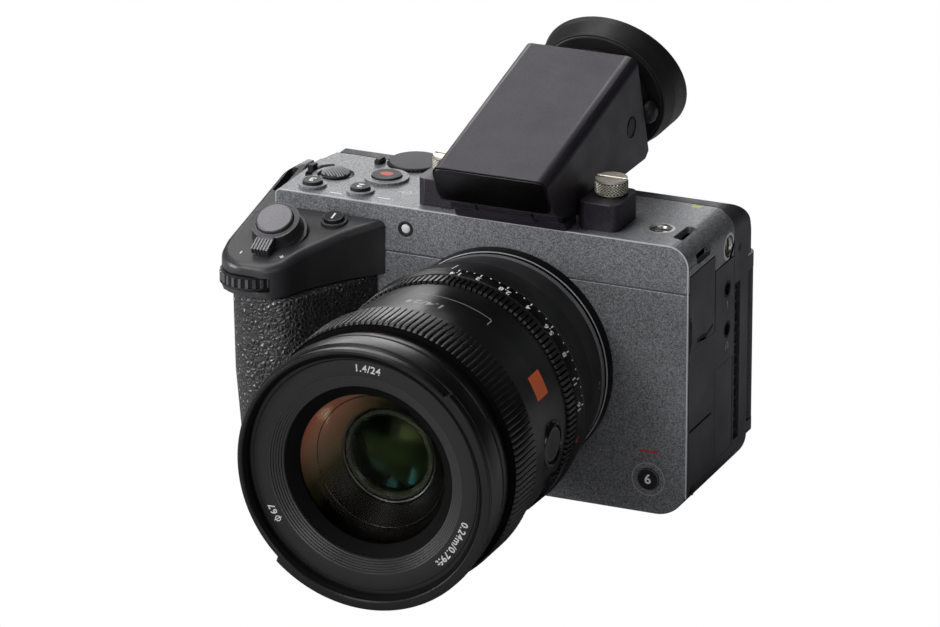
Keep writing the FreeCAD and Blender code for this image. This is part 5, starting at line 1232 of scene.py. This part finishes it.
def name_ring():
    """Ring inside the front rim: plate with numbers, ridges that fall inwards, and the wall of the well."""
    plate = lathe("plate", ((28.0, 104.2), (32.35, 104.1), (32.35, 107.75), (28.02, 107.8)),
                  LENS, "plate_grey", 240, 0.05)
    profile = [(28.0, NAME_RING_FACE)]
    for i in range(6):
        radius, z = 28.0 - 0.62 * i, NAME_RING_FACE - 0.36 * i
        profile += [(radius - 0.04, z - 0.01), (radius - 0.46, z - 0.17), (radius - 0.50, z - 0.42),
                    (radius - 0.60, z - 0.42), (radius - 0.62, z - 0.36)]
    profile += [(24.2, 105.4), (24.2, 104.3), (28.0, 104.3)]
    ridges = lathe("ridges", profile, LENS, "ridge_satin", 240, 0, degrees=15)
    wall = lathe("well_wall", ((24.2, 105.45), (21.1, 103.2), (21.0, 102.75), (21.8, 102.5), (27.3, 102.5),
                               (27.3, 104.2), (24.2, 104.2)), LENS, "inner_black", 180, 0.05)
    figures = []
    for degrees, text in ((88.0, "1.4/24"), (-152.6, "67"), (-31.5, "0.24m/0.79ft")):
        piece = letters("plate_figures", text, 2.75, "plate_mark", on_name_ring(degrees), 1.1)
        figures.append(moved(piece, LENS))
    sign = bmesh.new()
    for outline in ring_points(0.85, 0.58, 16):
        patch(sign, on_name_ring(-147.2), outline)
    patch(sign, on_name_ring(-147.2, 0.01), box_points(0.26, 2.5))
    figures.append(plain(sign, "diameter_sign", "plate_mark", LENS))
    ring = joined("name_ring_finished", plate, ridges, wall, *figures)
    settle(ring, ROOT, "name_plate", "name_ring")


def aperture_marks():
    """Aperture scale: a number at each full stop, dots at the thirds and a tick at each stop."""
    radius_at = profile_radius((35.8, 43.3), (35.72, 47.7))
    stops = ((90.7, "1.4"), (80.2, "2"), (67.2, "2.8"), (54.6, "4"), (41.5, "5.6"), (28.8, "8"), (16.1, "11"),
             (4.3, "16"))
    parts = []
    shape = bmesh.new()
    for degrees, text in stops:
        parts.append(letters("stop", text, 2.7, "white_mark", on_barrel(radius_at, degrees, 46.5), 1.1))
        patch(shape, on_barrel(radius_at, degrees, 44.4), box_points(0.36, 1.2))
    places = [degrees for degrees, text in stops]
    for degrees, following in zip(places, places[1:]):
        for third in (1, 2):
            dot = degrees + (following - degrees) * third / 3
            patch(shape, on_barrel(radius_at, dot, 44.1), disc_points(0.24))
    parts.append(plain(shape, "stop_ticks", "white_mark"))
    parts.append(letters("auto", "A", 2.7, "red_mark", on_barrel(radius_at, -11.3, 46.5)))
    return joined("aperture_marks", *[moved(part, LENS) for part in parts])


def lens_rings(ribs_around):
    """Aperture ring with its scale, and the ribbed focus ring."""
    base = lathe("aperture_base", ((31.08, APERTURE_REAR), (35.5, APERTURE_REAR), (35.8, 43.3), (35.72, 47.7),
                                   (34.9, 48.0), (34.2, 53.2), (33.9, 53.6), (31.08, 53.6)),
                 LENS, "deep_black", ease=0.12)
    # Painted highlight: a light line on the rear edge of the aperture ring
    line = lathe("aperture_edge", ((35.45, 43.0), (35.66, 43.06), (35.8, 43.22), (35.8, 43.34), (35.6, 43.3)),
                 LENS, "satin_edge_highlight", ease=0)
    ribs = ring_of(rib(1.3, 33.9, 35.6, 47.8, 53.45, 0.5, 0.82), "aperture_ribs", "rib_black", ribs_around)
    settle(joined("aperture_ring_dressed", base, line, moved(ribs, LENS), aperture_marks()),
           "aperture_ring_body", "lens_black", "aperture_ring")
    profile = ((32.6, 80.2), (37.0, 80.2), (37.2, 80.5), (37.2, 92.4), (36.6, 93.3), (32.6, 93.3))
    # Painted shade: the ring under the focus ribs is in the darkest black, so the grooves between the ribs
    # look shaded
    base = lathe("focus_base", profile, LENS, "inner_black", ease=0.15)
    focus_rib = rib(1.64, 37.15, 37.68, 80.3, 93.25, 0.3, 0.93, 1.2)
    ribs = ring_of(focus_rib, "focus_ribs", "rib_black", ribs_around)
    settle(joined("focus_ring_dressed", base, moved(ribs, LENS)), "focus_ring_body", "lens_black",
           "focus_ring")


def barrel_marks():
    """Index lines, mount dot, badge place and bracket line of the lens."""
    rear = profile_radius((31.4, 20.0), (33.9, 32.0), (35.2, 42.85))
    middle = profile_radius((34.9, 53.7), (35.1, 56.6), (35.6, 66.0), (36.8, 80.05))
    front = profile_radius((35.4, 93.45), (36.5, 99.4))
    white = bmesh.new()
    patch(white, on_barrel(rear, 96.6, 39.6), box_points(0.4, 5.6))
    patch(white, on_barrel(rear, 0.4, 23.8), disc_points(1.1, stretch=0.72))
    red = bmesh.new()
    patch(red, on_barrel(front, 93.0, 97.9), box_points(0.5, 2.4))
    badge = bmesh.new()
    for i in range(6):
        patch(badge, on_barrel(middle, 25.9, 66.3), box_points(1.15, 8.0, -2.9 + 1.16 * i))
    bracket = bmesh.new()
    for i in range(18):
        patch(bracket, on_barrel(middle, 62.0 + 2 * i, 63.5), box_points(1.26, 0.22))
    patch(bracket, on_barrel(middle, 60.4, 65.6), box_points(0.22, 3.4))
    corner = ((-0.3, -0.1), (0.0, 0.35), (0.25, 0.2), (0.75, -0.32), (0.7, -0.12))
    patch(bracket, on_barrel(middle, 61.0, 63.75), corner)
    figures = letters("barrel_figures", "1.4/24", 4.3, "grey_mark", on_barrel(middle, 88.0, 70.6), 1.05)
    parts = [moved(figures, LENS)]
    for shape, name, material in (
            (white, "index_marks", "white_mark"), (red, "front_mark", "red_mark"),
            (badge, "badge", "orange_badge"), (bracket, "barrel_bracket", "grey_mark")):
        parts.append(plain(shape, name, material, LENS))
    settle(joined("lens_marks", *parts), ROOT, "lens_black")


def barrel_controls():
    """Focus hold button in its raised collar, and the focus switch."""
    softened("focus_hold_button", 0.2, body_of("focus_hold_button"), "lens_satin")
    softened("focus_switch", 0.1, body_of("focus_switch"), "control_black")
    hold = LENS @ out_of_barrel(-2.0, 65.0, 35.4)
    profile = ((5.2, 0.1), (5.3, 0.75), (5.75, 1.05), (6.3, 0.75), (6.7, -0.2), (6.7, -0.8), (5.2, -0.8))
    collar = lathe("hold_collar", profile, hold, "gloss_black", 72)
    settle(collar, ROOT)
    rim(4.5, 0.52, hold, body_of("focus_hold_button"), "gloss_black", 0.5)


def out_of_barrel(degrees, z, radius):
    """Frame on the lens barrel whose local Z points away from the lens axis and whose Y points forward."""
    out = Vector((*turned(1.0, degrees), 0))
    forward = Vector((0, 0, 1))
    turn = Matrix((forward.cross(out), forward, out)).transposed().to_4x4()
    return Matrix.Translation((out * radius + forward * z) * MM) @ turn


# Glass

def bowed(radius, rim_z, sag):
    """Profile of a domed glass face from near the axis to its rim; a negative sag hollows it."""
    steps = 10
    sphere = (radius ** 2 + sag ** 2) / (2 * abs(sag))
    points = []
    for i in range(1, steps + 1):
        reach = radius * i / steps
        rise = math.sqrt(sphere ** 2 - reach ** 2) - (sphere - abs(sag))
        points.append((reach, rim_z + math.copysign(rise, sag)))
    return points


def glass_face(name, radius, rim_z, sag, material, back_radius=None):
    """Thin domed skin that stands for the coated face of a glass group."""
    back = rim_z - 0.1
    profile = ((0, rim_z + sag), *bowed(radius, rim_z, sag), (radius, back),
               *bowed(back_radius or radius, back, sag)[::-1], (0, back + sag))
    return lathe(name, profile, LENS, material, 72, 0, 60)


def front_element():
    """Front glass: a clear domed face, the bowl behind it with its painted reflection, and the ground line of
    its edge.
    """
    profile = ((0, 107.3), *bowed(21.4, 102.3, 5.0), (21.4, 101.8),
               *bowed(21.0, 101.6, 4.6)[::-1], (0, 106.2))
    face = lathe("front_face", profile, LENS, "front_glass", 96, 0, 60)
    centre, sphere = 111.0, 23.14
    bowl = [(BOWL_RADIUS + 0.1, 102.0)]
    for i in range(13):
        radius = BOWL_RADIUS - i * 0.64
        bowl.append((radius, centre - math.sqrt(sphere ** 2 - radius ** 2)))
    bowl += [(radius - 0.05, z - 0.15) for radius, z in reversed(bowl[1:])]
    rear = lathe("rear_face", bowl, LENS, "bowl_painted_reflection", 120, 0, 60)
    line = lathe("front_face_line", ((18.7, 97.35), (18.6, 97.5), (18.45, 97.35), (18.5, 97.1), (18.7, 97.2)),
                 LENS, "ground_rim", 120, 0)
    settle(joined("front_element_finished", face, rear, line), ROOT, "optic_glass", "front_element")


def inner_groups():
    """Glass groups deep in the barrel, with the ground rim of the first."""
    profile = ((12.95, 90.6), (13.0, 91.5), (12.6, 92.0), (11.6, 91.9), (10.9, 91.2), (10.8, 90.6))
    ring = lathe("group_rim", profile, LENS, "ground_rim", 120, 0.25)
    first = glass_face("group_face", 10.75, 91.1, 2.3, "group_glass", 10.7)
    second = glass_face("group_bowl", 10.2, 89.6, -3.0, "group_glass_blue")
    third = glass_face("group_dome", 8.5, 86.0, 2.2, "group_glass_lime")
    settle(joined("inner_elements_finished", ring, first, second, third), ROOT, "optic_glass",
           "inner_elements")


# Operators

class OBJECT_OT_finishes(bpy.types.Operator):
    """Make every finish and give each solid its first one"""

    bl_idname = "object.camera_finishes"
    bl_label = "Finishes"

    def execute(self, context):
        sizes = context.scene.camera_sizes
        for family in (housing_paint, moulded_plastics, edge_lines, grip_leather, lens_blacks):
            family(sizes)
        for family in (control_finishes, metals, soft_rubber, printed_marks, glasses, small_finishes):
            family()
        finish_of = {
            "body_paint": "flake_paint", "panel_plastic": "panel_plastic", "grip_leather": "grip_leather",
            "deck_plastic": "deck_satin", "control_plastic": "control_black",
            "shutter_metal": "shutter_metal",
            "finder_plastic": "finder_plastic", "soft_rubber": "soft_rubber", "lens_black": "lens_satin",
            "name_plate": "plate_grey", "mount_steel": "bare_steel", "lens_flange": "brushed_metal",
            "nickel": "nickel", "optic_glass": "eyepiece_glass", "screen_glass": "screen_black",
            "lamp": "lamp_white", "inner_metal": "brushed_metal", "circuit": "circuit_green",
            "inner_plastic": "dark_inner",
        }
        for entry in frame["record"]["subparts"]:
            dress(frame["nodes"][entry["node"]], finish_of[entry["material_slot"]])
        return {"FINISHED"}


class OBJECT_OT_stage(bpy.types.Operator):
    """Set the camera at the photograph's angle, soft lights and a white floor"""

    bl_idname = "object.camera_stage"
    bl_label = "Stage"

    def execute(self, context):
        photo_camera(context.scene)
        white_floor()
        studio_room(context.scene)
        soft_lights()
        context.scene.view_settings.view_transform = "Standard"
        return {"FINISHED"}


class OBJECT_OT_housing(bpy.types.Operator):
    """Round the edges of the moulded and cast shells"""

    bl_idname = "object.camera_housing"
    bl_label = "Housing"

    def execute(self, context):
        edge = context.scene.camera_sizes.edge_round / MM
        # The last column is a lighter finish for the rounded edges, which paints their highlight
        for node, width, material, line in (
                ("front_cover", edge * 0.8, "flake_paint", "paint_edge_highlight"),
                ("top_cover", edge, "flake_paint", "paint_edge_highlight"),
                ("grip_housing", edge * 1.4, "grip_leather", None),
                ("grip_head", edge * 0.8, "deck_satin", None),
                ("card_door", 0.2, "panel_plastic", None),
                ("battery_door", 0.2, "panel_plastic", None),
                ("monitor_housing", edge, "panel_plastic", "panel_edge_highlight"),
                ("monitor_bracket", edge * 0.6, "panel_plastic", None),
                ("monitor_glass", 0.15, "screen_black", None),
                ("finder_base", edge, "finder_plastic", "panel_edge_highlight"),
                ("finder_housing", edge * 1.3, "finder_plastic", None),
                ("lens_mount", 0.2, "brushed_metal", None),
                ("body_mount", 0.2, "bare_steel", None)):
            softened(node, width, body_of(node), material, line)
        return {"FINISHED"}


class OBJECT_OT_details(bpy.types.Operator):
    """Add the marks, screws, holes and threads of the housing"""

    bl_idname = "object.camera_details"
    bl_label = "Housing details"

    def execute(self, context):
        edge_line()
        tally_lamp()
        cover_marks()
        thread("roof_thread", seat(40.9, -1.5, TOP_Z), ROOT)
        thread("side_thread", seat(SIDE_X, 16.1, 69.6, ON_SIDE), ROOT)
        side_fittings()
        side_door_catch()
        return {"FINISHED"}


class OBJECT_OT_controls(bpy.types.Operator):
    """Finish the buttons, dials, selector, shutter and zoom lever"""

    bl_idname = "object.camera_controls"
    bl_label = "Controls"

    def execute(self, context):
        for node, width in (
                ("button_1", 0.25), ("button_2", 0.2), ("button_3", 0.2), ("button_6", 0.25),
                ("rec_button", 0.3), ("lens_release_button", 0.3), ("menu_button", 0.2),
                ("zoom_lever", 0.25), ("power_switch", 0.15), ("control_wheel", 0.15)):
            material = "deck_satin" if node == "zoom_lever" else "control_black"
            softened(node, width, body_of(node), material)
        button_faces()
        selector()
        shutter_and_lever()
        dials()
        return {"FINISHED"}


class OBJECT_OT_finder(bpy.types.Operator):
    """Finish the finder's trim, eyecup and thumbscrews"""

    bl_idname = "object.camera_finder"
    bl_label = "Finder"

    def execute(self, context):
        softened("finder_button", 0.25, body_of("finder_button"), "control_black")
        step = lathe("cup_step", ((18.5, 7.9), (19.1, 7.9), (19.5, 8.6), (19.1, 9.3), (18.5, 9.3)),
                     FINDER @ ON_REAR, "soft_rubber", 96)
        settle(step, body_of("finder_housing"))
        finder_front()
        finder_controls()
        thumbscrews(context.scene.camera_sizes.knurl_count)
        return {"FINISHED"}


class OBJECT_OT_lens(bpy.types.Operator):
    """Turn the lens: barrel, rings, front rim and name ring"""

    bl_idname = "object.camera_lens"
    bl_label = "Lens"

    def execute(self, context):
        mount_trim()
        front_barrel()
        name_ring()
        lens_rings(context.scene.camera_sizes.focus_ribs)
        barrel_marks()
        barrel_controls()
        return {"FINISHED"}


class OBJECT_OT_glass(bpy.types.Operator):
    """Shape the glass groups with their coated faces"""

    bl_idname = "object.camera_glass"
    bl_label = "Lens glass"

    def execute(self, context):
        front_element()
        inner_groups()
        softened("rear_element", 0, ROOT, "group_glass")
        softened("eyepiece_lens", 0, body_of("eyepiece_lens"), "eyepiece_glass")
        return {"FINISHED"}


STEPS = (OBJECT_OT_finishes, OBJECT_OT_stage, OBJECT_OT_housing, OBJECT_OT_details, OBJECT_OT_controls,
         OBJECT_OT_finder, OBJECT_OT_lens, OBJECT_OT_glass)


class VIEW3D_PT_camera(bpy.types.Panel):
    """Lists the steps that dress the camera"""

    bl_label = "Cinema camera"
    bl_idname = "VIEW3D_PT_cinema_camera"
    bl_space_type = "VIEW_3D"
    bl_region_type = "UI"
    bl_category = "Camera"

    def draw(self, context):
        layout = self.layout
        for step in STEPS:
            layout.operator(step.bl_idname)
        for name in CameraSizes.__annotations__:
            layout.prop(context.scene.camera_sizes, name)


def register():
    """Makes the classes and the sizes known."""
    for item in (CameraSizes, *STEPS, VIEW3D_PT_camera):
        bpy.utils.register_class(item)
    bpy.types.Scene.camera_sizes = PointerProperty(type=CameraSizes)


def unregister():
    """Takes the classes and the sizes away again."""
    del bpy.types.Scene.camera_sizes
    for item in reversed((CameraSizes, *STEPS, VIEW3D_PT_camera)):
        bpy.utils.unregister_class(item)


def main():
    """Dresses the whole camera."""
    register()
    for step in STEPS:
        group, name = step.bl_idname.split(".")
        getattr(getattr(bpy.ops, group), name)()


if __name__ == "__main__":
    main()
